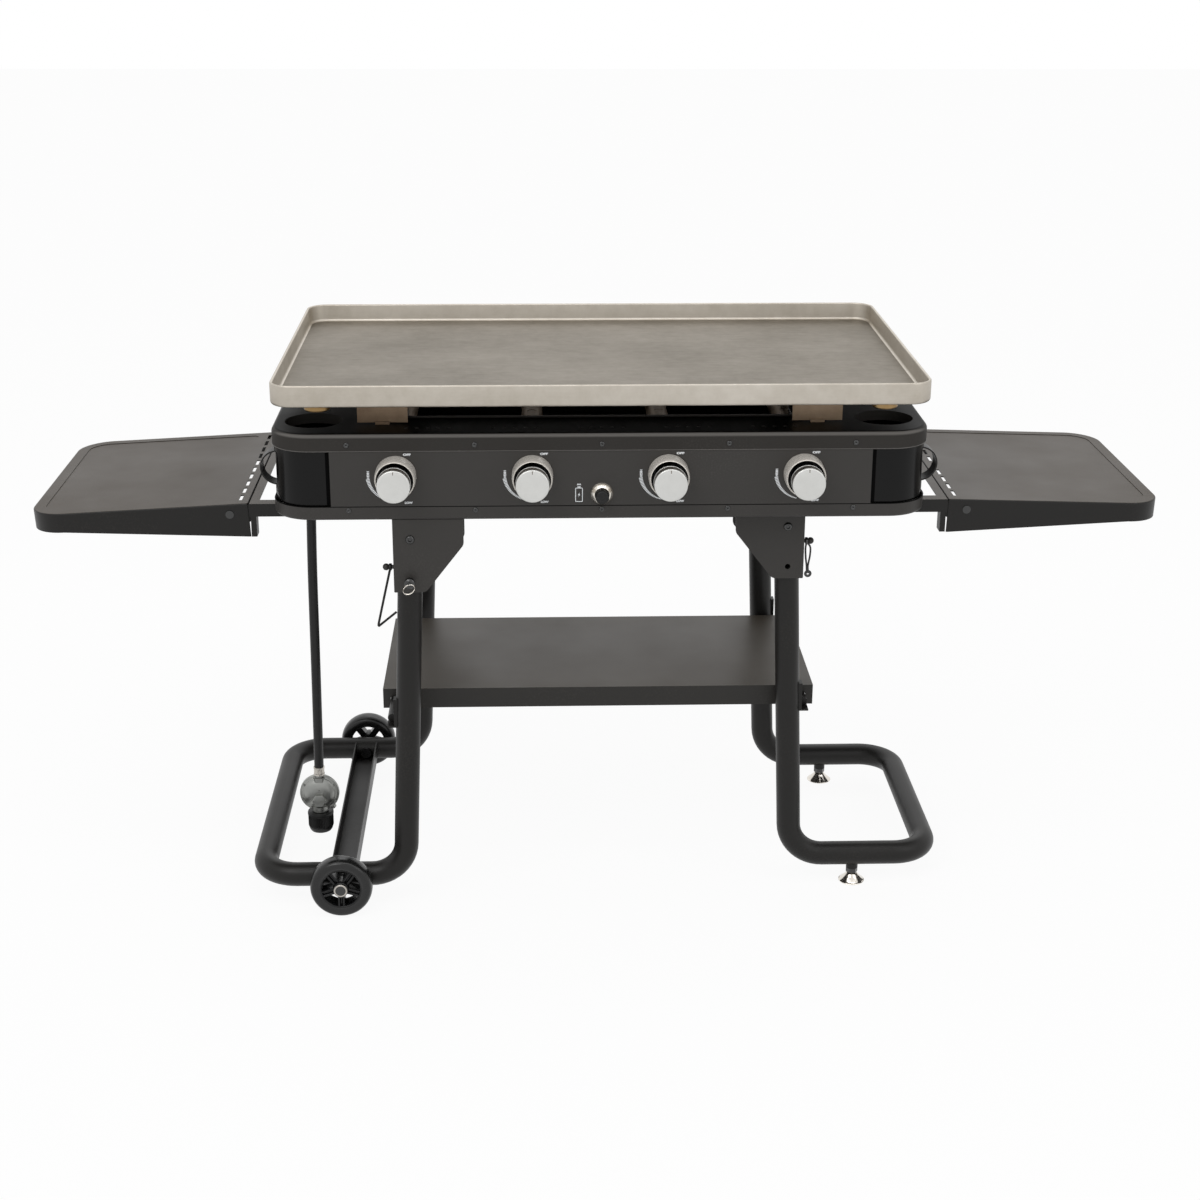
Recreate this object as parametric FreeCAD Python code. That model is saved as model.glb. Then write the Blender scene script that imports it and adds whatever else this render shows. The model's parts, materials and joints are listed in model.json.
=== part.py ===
import FreeCAD, Part
import math
import os

# Outdoor gas griddle station, in millimetres.
# Origin on the floor under the middle of the body, +X to the right of someone standing at the
# knobs, +Y to the back, +Z up.

V = FreeCAD.Vector

# Fits and sheet
SHEET = 1.5
SEAM = 0.3
RUNNING = 0.08
LOOSE = 0.3

# Sheet body: pan, panel belt and deck edge, one over the other
BODY_HALF_W = 463.5
BODY_HALF_D = 258.5
BODY_CORNER = 57.0
PAN_Z = 612.6
PAN_EDGE = 19.8
BELT = 79.0
DECK_EDGE = 25.0
DECK_ROLL = 7.0
PAN_ROLL = 5.0

# Cooking plate and what it stands on
PLATE_HALF_W = 457.0
PLATE_HALF_D = 280.0
PLATE_CORNER = 32.0
PLATE_HEIGHT = 31.0
PLATE_WALL = 4.0
PLATE_LIFT = 43.0
PLATE_ROLL = 5.0
FOOT_X = 307.5
FOOT_Y = 198.0
FOOT_WIDTH = 71.0
FOOT_THICK = 5.0
FOOT_TAB = 15.0
FOOT_TAB_DROP = 6.0
FOOT_CLEAR = 2.0
FOOT_TOE = 4.0
FOOT_TOE_WIDTH = 20.0
PAD_X = 392.0
PAD_Y = 258.0
PAD_R = 18.0
PAD_HEIGHT = 7.0

# Deck openings
CUP_R = 41.0
CUP_IN_X = 57.5
CUP_IN_Y = 78.5
CUP_COLLAR = 13.0
FIRE_STEP = 65.0
FIRE_HALF_D = 168.0
FIRE_TO_WELL = 18.0
FIRE_WIDE_HALF_D = 130.0
FIRE_LIP = 10.0
FIRE_RIM = 2.0
VENT_R = 2.6
VENT_PITCH = 15.1
VENT_GROUP = 121.7
VENT_GROUPS = 5
VENTS_IN_GROUP = 5
VENT_IN = 33.5

# Air slots in the pan and the back
AIR_SLOT = 72.0
AIR_SLOT_WIDTH = 5.0
AIR_SLOT_Y = 63.0
REAR_SLOT_ROWS = 3
REAR_SLOT_PITCH = 16.0

# Control panel
PANEL_LAP = 21.0
PANEL_TAB_INSET = 9.0
PANEL_TAB = 22.0
KNOB_PITCH = 190.3
KNOB_SHIFT = -2.0
KNOB_COUNT = 4
KNOB_DROP = 34.6
STEM_HOLE_R = 9.0
IGNITER_RISE = 17.2
IGNITER_HOLE_R = 14.0
SCREW_IN = 24.4
SCREW_COUNT = 5
SCREW_R = 1.8
SCREW_HEAD_R = 3.2
SCREW_HEAD = 1.6
SCREW_LENGTH = 7.0
SCREW_UP = 9.7
SCREW_DOWN = 5.3

# Knobs and bezels
KNOB_R = 23.3
KNOB_NECK_R = 19.5
KNOB_FLANGE_R = 22.0
KNOB_FLANGE = 4.0
KNOB_CAP = 18.0
KNOB_REACH = 57.0
KNOB_GAP = 3.0
STEM_R = 4.0
STEM_REACH = 40.0
BEZEL_R = 28.8
BEZEL_BORE = 17.0
BEZEL_RISE = 28.0
BEZEL_LIP = 3.0
IGNITER_BEZEL_R = 16.4
IGNITER_BEZEL_RISE = 10.0
BUTTON_R = 9.6
BUTTON_REACH = 21.0
BUTTON_TRAVEL = 3.0

# Corner wells and their strap handles
WELL_INSET = 4.0
WELL_WIDTH = 105.5
WELL_DEPTH = 146.5
WELL_CORNER = 4.0
HANDLE_WIDTH = 25.0
HANDLE_THICK = 2.0
HANDLE_BULGE = 21.5
HANDLE_RISE = 16.3
HANDLE_SPAN = 50.0
HANDLE_FOOT = 12.0
HANDLE_IN = 70.5
RIVET_R = 1.9
RIVET_HEAD_R = 3.6

# Gas train
BURNER_R = 16.0
BURNER_DROP = 43.0
BURNER_IN = 93.5
BURNER_OUT = 48.5
BURNER_NECK_R = 10.0
BURNER_NECK = 22.0
BURNER_TAB_R = 5.0
PORT_HALF = 7.0
PORT_SLIT = 3.0
PORT_DEPTH = 3.5
PORT_COUNT = 9
MANIFOLD_SIDE = 19.0
MANIFOLD_IN = 53.5
MANIFOLD_RISE = 15.6
MANIFOLD_TO_WELL = 33.0
VALVE_WIDTH = 22.0
VALVE_IN = 15.5
NOZZLE_R = 5.0
NOZZLE = 14.0
FEED_R = 6.0
RAIL_BRACKET = 18.0
ELECTRODE_R = 1.6
CERAMIC_R = 3.5
CERAMIC = 22.0
SPARK_BOX_R = 14.0
SPARK_BOX = 34.0

# Leg frames: one bent tube each, front leg to floor loop to back leg
TUBE_R = 18.0
TUBE_WALL = 1.8
LEG_PIVOT_X = 270.5
LEG_PIVOT_DROP = 29.6
LEG_STUB = 11.0
LEG_SPREAD = 22.3
LOOP_X = 509.0
BEND_R = 53.0
TRACK_IN = 25.9
TRACK_STEP = 48.3
PIVOT_BOLT_R = 5.0
LOCK_X = 272.0
LOCK_DROP = 90.6

# Leg brackets
BRACKET_OUT_X = 295.0
BRACKET_IN_X = 195.0
BRACKET_NOSE_X = 250.0
BRACKET_DROP = 108.6
BRACKET_SHOULDER = 38.0
BRACKET_GAP = 5.0
BRACKET_SHEET = 2.5
BRACKET_ROUND = 12.0
PIN_R = 4.0
PIN_GRIP_R = 7.5
PIN_GRIP = 18.0

# Wheels and their beam
WHEEL_R = 46.5
WHEEL_WIDTH = 30.0
WHEEL_X = -387.0
WHEEL_GAP = 5.0
RIM_R = 31.0
RIM_BAND = 3.0
HUB_R = 12.0
AXLE_R = 6.0
AXLE_HEAD_R = 10.5
AXLE_HEAD = 3.5
SPOKES = 5
SPOKE_WIDTH = 9.0
SPOKE_GROOVE = 3.0
TYRE_ROUND = 9.0
BEAM_HALF_W = 18.5
BEAM_DEPTH = 28.0
BEAM_SHEET = 2.0
BEAM_RISE = 15.5

# Levelling feet of the right frame
LEVEL_X = 392.0
LEVEL_STEM_R = 5.0
LEVEL_PAD_R = 20.0
LEVEL_PAD = 13.5
LEVEL_BOSS_R = 9.0
NUT_R = 9.0
NUT = 7.0

# Lower shelf and its rods
SHELF_HALF_W = 324.5
SHELF_TO_LEG = 13.8
SHELF_Z = 314.0
SHELF_EDGE = 31.0
ROD_R = 6.0
ROD_X = 307.0
ROD_DROP = 16.5
ROD_SHORT = 8.0
SADDLE_SHEET = 2.5
SADDLE_HALF = 9.0
SADDLE_HEIGHT = 44.0

# Side tables and the rails that carry them
TABLE_GAP = 39.0
TABLE_OUT_X = 818.0
TABLE_HALF_D = 198.0
TABLE_CORNER = 50.0
TABLE_IN_CORNER = 3.0
TABLE_RISE = 6.4
TABLE_SKIRT_IN = 50.0
TABLE_SKIRT_OUT = 28.0
TABLE_ROLL = 2.0
TABLE_PANEL_INSET = 18.0
TABLE_PANEL_DROP = 0.7
TABLE_DROOP_LEFT = 3.0
TABLE_DROOP_RIGHT = 1.7
HINGE_IN = 27.5
HINGE_DROP = 15.0
HINGE_PIN_R = 4.0
ARM_R = 11.5
RAIL_SIDE = 20.0
RAIL_DROP = 12.6
RAIL_UNDER = 60.0
STRIP_WIDTH = 12.5
STRIP_LIP = 5.0
RAIL_HANGER = 8.0
RAIL_HANGER_DROP = 30.0
SLOT_LENGTH = 25.0
SLOT_WIDTH = 5.0
SLOT_PITCH = 37.0
SLOT_COUNT = 10
SLOT_IN = 13.5

# Wire keepers beside the front brackets
WIRE_R = 2.0
BAIL_STUD_R = 3.0
BAIL_STUD_DROP = 77.6
BAIL_DROP = 91.0
BAIL_KICK = 20.0
BAIL_TAIL_RISE = 26.0
BAIL_TAIL = 21.0
LATCH_STUD_DROP = 58.6
LATCH_DROP = 52.0
LATCH_WIDTH = 6.0

# Hose, regulator and hand nut: the hose's route from its inlet to the regulator
HOSE_R = 7.2
HOSE_ROUTE = [
    (-425.0, -100.0, 588.0),
    (-427.5, -100.5, 500.0),
    (-428.5, -102.5, 392.0),
    (-430.0, -101.0, 282.0),
    (-432.0, -100.0, 164.0),
]
RUN_SHARE = 0.45
GLAND_R = 11.0
GLAND_FLANGE_R = 14.0
GLAND_FLANGE = 3.0
GLAND_NUT = 9.0
FERRULE_R = 8.6
FERRULE = 14.0
REGULATOR_R = 30.5
REGULATOR_DEPTH = 34.0
REGULATOR_RIM = 5.0
HAND_NUT_R = 20.0
HAND_NUT = 32.0
SPIGOT_R = 9.0
SPIGOT = 8.0

PAN_TOP = PAN_Z + PAN_EDGE
BELT_Z = PAN_TOP + SEAM
BELT_TOP = BELT_Z + BELT
DECK_EDGE_Z = BELT_TOP + SEAM
DECK_Z = DECK_EDGE_Z + DECK_EDGE
PLATE_Z = DECK_Z + PLATE_LIFT
KNOB_Z = DECK_EDGE_Z - KNOB_DROP
IGNITER_Z = BELT_Z + IGNITER_RISE
FRONT_Y = -BODY_HALF_D
WELL_IN_X = BODY_HALF_W - WELL_WIDTH
WELL_BACK_Y = FRONT_Y + WELL_DEPTH
CUP_X = BODY_HALF_W - CUP_IN_X
CUP_Y = BODY_HALF_D - CUP_IN_Y
FIRE_WIDE_HALF_W = WELL_IN_X - FIRE_TO_WELL
FIRE_HALF_W = FIRE_WIDE_HALF_W - FIRE_STEP
VENT_Y = BODY_HALF_D - VENT_IN
PANEL_HALF_W = WELL_IN_X + PANEL_LAP
SCREW_PITCH = 2 * (PANEL_HALF_W - SCREW_IN) / (SCREW_COUNT - 1)
HANDLE_Y = FRONT_Y + HANDLE_IN
HANDLE_BOTTOM = BELT_Z + HANDLE_RISE
HANDLE_TOP = HANDLE_BOTTOM + HANDLE_SPAN
BURNER_Z = DECK_Z - BURNER_DROP
BURNER_FRONT = FRONT_Y + BURNER_IN
BURNER_BACK = BODY_HALF_D - BURNER_OUT
MANIFOLD_Y = FRONT_Y + MANIFOLD_IN
MANIFOLD_Z = PAN_TOP + MANIFOLD_RISE
MANIFOLD_HALF = WELL_IN_X - MANIFOLD_TO_WELL
VALVE_FRONT = FRONT_Y + VALVE_IN
LEFT_TRACK = BODY_HALF_D - TRACK_IN
RIGHT_TRACK = LEFT_TRACK - TRACK_STEP
SHELF_HALF_D = RIGHT_TRACK - TUBE_R - SHELF_TO_LEG
TABLE_IN_X = BODY_HALF_W + TABLE_GAP
TABLE_Z = PAN_Z + TABLE_RISE
HINGE_X = TABLE_IN_X + HINGE_IN
RAIL_Z = PAN_Z - RAIL_DROP
BAIL_Z = PAN_Z - BAIL_STUD_DROP
LATCH_Z = PAN_Z - LATCH_STUD_DROP
PIVOT_Z = PAN_Z - LEG_PIVOT_DROP
LOCK_Z = PAN_Z - LOCK_DROP
LOOP_Z = WHEEL_R
HINGE_Z = TABLE_Z - HINGE_DROP
ROD_Z = SHELF_Z - ROD_DROP
FRONT_REACH = BODY_HALF_D + KNOB_REACH
BACK_REACH = LEFT_TRACK + TUBE_R + WHEEL_GAP + WHEEL_WIDTH + AXLE_HEAD
FRAME_SHIFT = (FRONT_REACH - BACK_REACH) / 2
KNOB_XS = [
    KNOB_SHIFT + (i - (KNOB_COUNT - 1) / 2) * KNOB_PITCH for i in range(KNOB_COUNT)
]
SCREW_XS = [(i - (SCREW_COUNT - 1) / 2) * SCREW_PITCH for i in range(SCREW_COUNT)]
SCREW_ZS = [DECK_EDGE_Z + SCREW_UP, PAN_TOP - SCREW_DOWN]


def box(x0, x1, y0, y1, z0, z1):
    """A box between two corners, given in any order."""
    low = V(min(x0, x1), min(y0, y1), min(z0, z1))
    return Part.makeBox(abs(x1 - x0), abs(y1 - y0), abs(z1 - z0), low)


def rod(radius, start, end):
    """A round bar from one point to another."""
    start = V(*start)
    along = V(*end) - start
    return Part.makeCylinder(radius, along.Length, start, along)


def turned(profile, centre, axis):
    """A solid turned about an axis, from (radius, height along the axis) points."""
    points = [V(r, 0, h) for r, h in profile]
    face = Part.Face(Part.makePolygon(points + points[:1]))
    solid = face.revolve(V(0, 0, 0), V(0, 0, 1), 360)
    if not solid.isValid() or solid.Volume < 0:
        solid = solid.reversed()
    solid.Placement = FreeCAD.Placement(V(*centre), FreeCAD.Rotation(V(0, 0, 1), V(*axis)))
    return solid


def corner_arc(before, corner, after, radius):
    """The start, middle and end of the arc that rounds a corner."""
    a = (before - corner).normalize()
    b = (after - corner).normalize()
    half = a.getAngle(b) / 2
    reach = radius / math.tan(half)
    inward = (a + b).normalize()
    centre = corner + inward * (radius / math.sin(half))
    return corner + a * reach, centre - inward * radius, corner + b * reach


def rounded_edges(points, radii, closed):
    """Straight runs joined by tangent arcs, one radius for each point; 0 leaves it sharp."""
    points = [V(*p) for p in points]
    count = len(points)
    stops = []
    for i, point in enumerate(points):
        sharp = radii[i] <= 0 or (not closed and i in (0, count - 1))
        if sharp:
            stops.append((point, None, point))
        else:
            stops.append(corner_arc(points[i - 1], point, points[(i + 1) % count], radii[i]))
    edges = []
    for i, (start, middle, end) in enumerate(stops):
        if middle is not None:
            edges.append(Part.Arc(start, middle, end).toShape())
        if closed or i < count - 1:
            following = stops[(i + 1) % count][0]
            if (following - end).Length > 1e-6:
                edges.append(Part.LineSegment(end, following).toShape())
    return edges


def slab(points, radii, thickness):
    """A flat outline with rounded corners, thickened along a vector."""
    return Part.Face(Part.Wire(rounded_edges(points, radii, True))).extrude(V(*thickness))


def rounded_box(half_w, half_d, corner, z0, z1):
    """An upright box round the origin with four rounded corners."""
    outline = [
        (-half_w, -half_d, z0),
        (half_w, -half_d, z0),
        (half_w, half_d, z0),
        (-half_w, half_d, z0),
    ]
    return slab(outline, [corner] * 4, (0, 0, z1 - z0))


def bent_bar(points, radii, radius):
    """A round bar or tube blank: a cylinder for each run and part of a torus for each arc."""
    lengths = []
    for edge in rounded_edges(points, radii, False):
        start = edge.valueAt(edge.FirstParameter)
        end = edge.valueAt(edge.LastParameter)
        if edge.Curve.TypeId == "Part::GeomLine":
            lengths.append(rod(radius, start, end))
        else:
            turn = math.degrees(edge.Length / edge.Curve.Radius)
            tangent = edge.tangentAt(edge.FirstParameter)
            face = Part.Face(Part.Wire(Part.makeCircle(radius, start, tangent)))
            centre = edge.Curve.Center
            axis = (start - centre).cross(tangent)
            lengths.append(face.revolve(centre, axis, turn))
    return lengths[0].fuse(lengths[1:])


def level_edges(shape, z):
    """The edges of a shape that lie at one height."""
    found = []
    for edge in shape.Edges:
        if abs(edge.BoundBox.ZMin - z) < 1e-4 and abs(edge.BoundBox.ZMax - z) < 1e-4:
            found.append(edge)
    return found


def mirrored(shape):
    """The same piece on the other side of the middle plane."""
    return shape.mirror(V(0, 0, 0), V(1, 0, 0))


def group(solids):
    """Several solids of one sub-part."""
    return Part.makeCompound(solids)


def save(name, shape):
    """Write one sub-part, placed in the frame whose origin is under the middle of the station."""
    shape.translated(V(0, FRAME_SHIFT, 0)).exportStep("parts/%s.step" % name)


def open_tray(half_w, half_d, corner, z0, z1, wall, floor, roll):
    """A pressed tray: walls all round, a floor below, its lower edge rolled."""
    outer = rounded_box(half_w, half_d, corner, z0, z1)
    outer = outer.makeFillet(roll, level_edges(outer, z0))
    inner = rounded_box(half_w - wall, half_d - wall, corner - wall, z0 + floor, z1 + 1)
    inner = inner.makeFillet(max(roll - wall, wall / 2), level_edges(inner, z0 + floor))
    return outer.cut(inner)


def make_plate():
    return open_tray(
        PLATE_HALF_W, PLATE_HALF_D, PLATE_CORNER, PLATE_Z, PLATE_Z + PLATE_HEIGHT,
        PLATE_WALL, PLATE_WALL, PLATE_ROLL,
    )


def foot_places():
    return [(sx * FOOT_X, sy * FOOT_Y) for sx in (-1, 1) for sy in (-1, 1)]


def make_plate_feet():
    """Upright tabs that carry the plate, each on a toe with a tongue through a deck slot."""
    feet = []
    half = FOOT_THICK / 2
    wide = FOOT_WIDTH / 2
    toe = FOOT_TOE_WIDTH / 2
    for x, y in foot_places():
        blade = box(x - wide, x + wide, y - half, y + half, DECK_Z + FOOT_CLEAR, PLATE_Z)
        sole = box(x - toe, x + toe, y - half - FOOT_TOE, y + half, DECK_Z, DECK_Z + 2 * FOOT_CLEAR)
        low = DECK_Z - FOOT_TAB_DROP
        tongue = box(x - FOOT_TAB / 2, x + FOOT_TAB / 2, y - half, y + half, low, DECK_Z)
        feet.append(blade.fuse([sole, tongue]).removeSplitter())
    return group(feet)


def make_plate_pads():
    """Brass pads under the plate's four corners."""
    chamfer = PAD_HEIGHT / 4
    profile = [
        (0, 0), (PAD_R, 0), (PAD_R, chamfer - PAD_HEIGHT),
        (PAD_R - chamfer, -PAD_HEIGHT), (0, -PAD_HEIGHT),
    ]
    pads = []
    for sx in (-1, 1):
        for sy in (-1, 1):
            pads.append(turned(profile, (sx * PAD_X, sy * PAD_Y, PLATE_Z), (0, 0, 1)))
    return group(pads)


def fire_opening(grow, z0, z1):
    """The cross-shaped hole over the burners, or that hole grown by a wall."""
    front = rounded_box(FIRE_HALF_W + grow, FIRE_HALF_D + grow, PLATE_WALL * 2 + grow, z0, z1)
    wide = rounded_box(
        FIRE_WIDE_HALF_W + grow, FIRE_WIDE_HALF_D + grow, PLATE_WALL * 2 + grow, z0, z1,
    )
    return front.fuse(wide).removeSplitter()


def make_deck():
    """The deck sheet with its rolled edge, rimmed burner opening and cup collars."""
    outer = rounded_box(BODY_HALF_W, BODY_HALF_D, BODY_CORNER, DECK_EDGE_Z, DECK_Z)
    outer = outer.makeFillet(DECK_ROLL, level_edges(outer, DECK_Z))
    under = DECK_Z - SHEET
    inner = rounded_box(
        BODY_HALF_W - SHEET, BODY_HALF_D - SHEET, BODY_CORNER - SHEET, DECK_EDGE_Z - 1, under,
    )
    inner = inner.makeFillet(DECK_ROLL - SHEET, level_edges(inner, under))
    deck = outer.cut(inner)
    rim = DECK_Z + FIRE_RIM
    collars = [fire_opening(SHEET, under - FIRE_LIP, rim)]
    holes = [fire_opening(0, under - FIRE_LIP - 1, rim + 1)]
    for side in (-1, 1):
        spot = (side * CUP_X, -CUP_Y)
        collars.append(rod(CUP_R + SHEET, (*spot, under - CUP_COLLAR), (*spot, under)))
        holes.append(rod(CUP_R, (*spot, under - CUP_COLLAR - 1), (*spot, DECK_Z + 1)))
    for x, y in foot_places():
        hx = FOOT_TAB / 2 + LOOSE
        hy = FOOT_THICK / 2 + LOOSE
        holes.append(box(x - hx, x + hx, y - hy, y + hy, under - 1, DECK_Z + 1))
    for cluster in range(VENT_GROUPS):
        middle = (cluster - (VENT_GROUPS - 1) / 2) * VENT_GROUP
        for i in range(VENTS_IN_GROUP):
            x = middle + (i - (VENTS_IN_GROUP - 1) / 2) * VENT_PITCH
            holes.append(rod(VENT_R, (x, -VENT_Y, under - 1), (x, -VENT_Y, DECK_Z + 1)))
    for x in SCREW_XS:
        holes.append(screw_hole(x, SCREW_ZS[0]))
    return deck.fuse(collars).cut(holes)


def screw_hole(x, z):
    """The hole of one front screw, through every sheet at the front."""
    return rod(SCREW_R + RUNNING, (x, FRONT_Y - 1, z), (x, FRONT_Y + SCREW_LENGTH, z))


def make_panel():
    """The control panel, flush with deck and pan, with a tab behind each of them."""
    face = box(-PANEL_HALF_W, PANEL_HALF_W, FRONT_Y, FRONT_Y + SHEET, BELT_Z, BELT_TOP)
    back = FRONT_Y + SHEET
    tab_w = PANEL_HALF_W - PANEL_TAB_INSET
    high = DECK_Z - DECK_ROLL - LOOSE
    upper = box(-tab_w, tab_w, back, back + SHEET, BELT_TOP - PANEL_TAB / 2, high)
    low = PAN_Z + SHEET + PAN_ROLL
    lower = box(-tab_w, tab_w, back, back + SHEET, low, BELT_Z + PANEL_TAB / 2)
    panel = face.fuse([upper, lower])
    holes = [screw_hole(x, z) for x in SCREW_XS for z in SCREW_ZS]
    for x in KNOB_XS:
        holes.append(rod(STEM_HOLE_R, (x, FRONT_Y - 1, KNOB_Z), (x, back + 2 * SHEET, KNOB_Z)))
    start = (0, FRONT_Y - 1, IGNITER_Z)
    holes.append(rod(IGNITER_HOLE_R, start, (0, back + 2 * SHEET, IGNITER_Z)))
    return panel.cut(holes)


def make_pan():
    """The bottom pan, with the hose hole and air slots in its floor."""
    pan = open_tray(
        BODY_HALF_W, BODY_HALF_D, BODY_CORNER, PAN_Z, PAN_TOP, SHEET, SHEET, PAN_ROLL,
    )
    x, y, _ = HOSE_ROUTE[0]
    holes = [rod(FEED_R + LOOSE, (x, y, PAN_Z - 1), (x, y, PAN_TOP))]
    for x in KNOB_XS:
        holes.append(box(
            x - AIR_SLOT / 2, x + AIR_SLOT / 2, AIR_SLOT_Y - AIR_SLOT_WIDTH / 2,
            AIR_SLOT_Y + AIR_SLOT_WIDTH / 2, PAN_Z - 1, PAN_TOP,
        ))
    holes += [screw_hole(x, SCREW_ZS[1]) for x in SCREW_XS]
    return pan.cut(holes)


def make_rear_shell():
    """Sides and back of the belt in one bent sheet, with cooling slots at the back."""
    outer = rounded_box(BODY_HALF_W, BODY_HALF_D, BODY_CORNER, BELT_Z, BELT_TOP)
    inner = rounded_box(
        BODY_HALF_W - SHEET, BODY_HALF_D - SHEET, BODY_CORNER - SHEET, BELT_Z - 1, BELT_TOP + 1,
    )
    front = box(
        -BODY_HALF_W - 1, BODY_HALF_W + 1, -BODY_HALF_D - 1, WELL_BACK_Y + SEAM,
        BELT_Z - 1, BELT_TOP + 1,
    )
    slots = []
    half = AIR_SLOT_WIDTH / 2
    for x in KNOB_XS:
        for row in range(REAR_SLOT_ROWS):
            z = BELT_Z + BELT / 2 + (row - (REAR_SLOT_ROWS - 1) / 2) * REAR_SLOT_PITCH
            slots.append(box(
                x - AIR_SLOT / 2, x + AIR_SLOT / 2, BODY_HALF_D - 2 * SHEET, BODY_HALF_D + 1,
                z - half, z + half,
            ))
    return outer.cut(inner).cut(front).cut(slots)


def well_outline(wall, z):
    """The right-hand well's outline, drawn in by a wall."""
    out_x = BODY_HALF_W - WELL_INSET - wall
    front = FRONT_Y + WELL_INSET + wall
    back = WELL_BACK_Y - wall
    points = [
        (WELL_IN_X + wall, front, z), (out_x, front, z), (out_x, back, z),
        (WELL_IN_X + wall, back, z),
    ]
    small = WELL_CORNER - wall
    return points, [small, BODY_CORNER - WELL_INSET - wall, small, small]


def make_well():
    """Right-hand cup well: a closed-bottomed sheet shell under the deck's cup hole."""
    low = PAN_TOP + LOOSE
    high = DECK_Z - SHEET - WELL_INSET / 2
    outline, radii = well_outline(0, low)
    shell = slab(outline, radii, (0, 0, high - low))
    outline, radii = well_outline(SHEET, low + SHEET)
    shell = shell.cut(slab(outline, radii, (0, 0, high - low)))
    holes = []
    for z in rivet_heights():
        out_x = BODY_HALF_W - WELL_INSET
        holes.append(rod(RIVET_R + RUNNING, (out_x - 9, HANDLE_Y, z), (out_x + 9, HANDLE_Y, z)))
    return shell.cut(holes)


def rivet_heights():
    return [HANDLE_TOP + HANDLE_FOOT / 2, HANDLE_BOTTOM - HANDLE_FOOT / 2]


def make_handle():
    """Right-hand strap handle: two flat feet and a bowed strap between them."""
    x0 = BODY_HALF_W - WELL_INSET
    x1 = x0 + HANDLE_THICK
    y0 = HANDLE_Y - HANDLE_WIDTH / 2
    middle = (HANDLE_TOP + HANDLE_BOTTOM) / 2
    out = x0 + HANDLE_BULGE + HANDLE_THICK
    top = V(x0, y0, HANDLE_TOP + HANDLE_FOOT)
    bottom = V(x0, y0, HANDLE_BOTTOM - HANDLE_FOOT)
    bow_out = Part.Arc(
        V(x1, y0, HANDLE_TOP), V(out, y0, middle), V(x1, y0, HANDLE_BOTTOM),
    ).toShape()
    bow_in = Part.Arc(
        V(x0, y0, HANDLE_BOTTOM + HANDLE_THICK), V(out - HANDLE_THICK, y0, middle),
        V(x0, y0, HANDLE_TOP - HANDLE_THICK),
    ).toShape()
    corners = [
        Part.LineSegment(top, V(x1, y0, top.z)).toShape(),
        Part.LineSegment(V(x1, y0, top.z), V(x1, y0, HANDLE_TOP)).toShape(),
        bow_out,
        Part.LineSegment(V(x1, y0, HANDLE_BOTTOM), V(x1, y0, bottom.z)).toShape(),
        Part.LineSegment(V(x1, y0, bottom.z), bottom).toShape(),
        Part.LineSegment(bottom, V(x0, y0, HANDLE_BOTTOM + HANDLE_THICK)).toShape(),
        bow_in,
        Part.LineSegment(V(x0, y0, HANDLE_TOP - HANDLE_THICK), top).toShape(),
    ]
    strap = Part.Face(Part.Wire(corners)).extrude(V(0, HANDLE_WIDTH, 0))
    holes = []
    for z in rivet_heights():
        holes.append(rod(RIVET_R + RUNNING, (x0 - 1, HANDLE_Y, z), (x1 + 1, HANDLE_Y, z)))
    return strap.cut(holes)


def make_rivets():
    """Round-headed rivets through the strap feet and the well's wall."""
    rivets = []
    seat = BODY_HALF_W - WELL_INSET + HANDLE_THICK
    head = RIVET_HEAD_R / 2
    grip = HANDLE_THICK + SHEET
    profile = [
        (0, head), (RIVET_HEAD_R * 0.7, head * 0.7), (RIVET_HEAD_R, 0), (RIVET_R, 0),
        (RIVET_R, -grip), (RIVET_R * 1.5, -grip), (RIVET_R * 1.5, -grip - 1), (0, -grip - 1),
    ]
    for side in (-1, 1):
        for z in rivet_heights():
            rivets.append(turned(profile, (side * seat, HANDLE_Y, z), (side, 0, 0)))
    return group(rivets)


def make_burners():
    """Four straight tube burners with ports on top, a neck in front and a locating tab behind."""
    burners = []
    inner_wall = BODY_HALF_D - SHEET
    for x in KNOB_XS:
        body = rod(BURNER_R, (x, BURNER_FRONT, BURNER_Z), (x, BURNER_BACK, BURNER_Z))
        throat = BURNER_FRONT - BURNER_NECK
        neck = rod(BURNER_NECK_R, (x, throat, BURNER_Z), (x, BURNER_FRONT, BURNER_Z))
        tab = rod(BURNER_TAB_R, (x, BURNER_BACK, BURNER_Z), (x, inner_wall, BURNER_Z))
        bore = rod(NOZZLE_R + 2, (x, throat - 1, BURNER_Z), (x, BURNER_FRONT, BURNER_Z))
        ports = []
        high = BURNER_Z + BURNER_R
        for i in range(PORT_COUNT):
            y = BURNER_FRONT + (i + 0.5) * (BURNER_BACK - BURNER_FRONT) / PORT_COUNT
            ports.append(box(
                x - PORT_HALF, x + PORT_HALF, y - PORT_SLIT / 2, y + PORT_SLIT / 2,
                high - PORT_DEPTH, high + 1,
            ))
        burners.append(body.fuse([neck, tab]).cut([bore] + ports))
    return group(burners)


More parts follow.
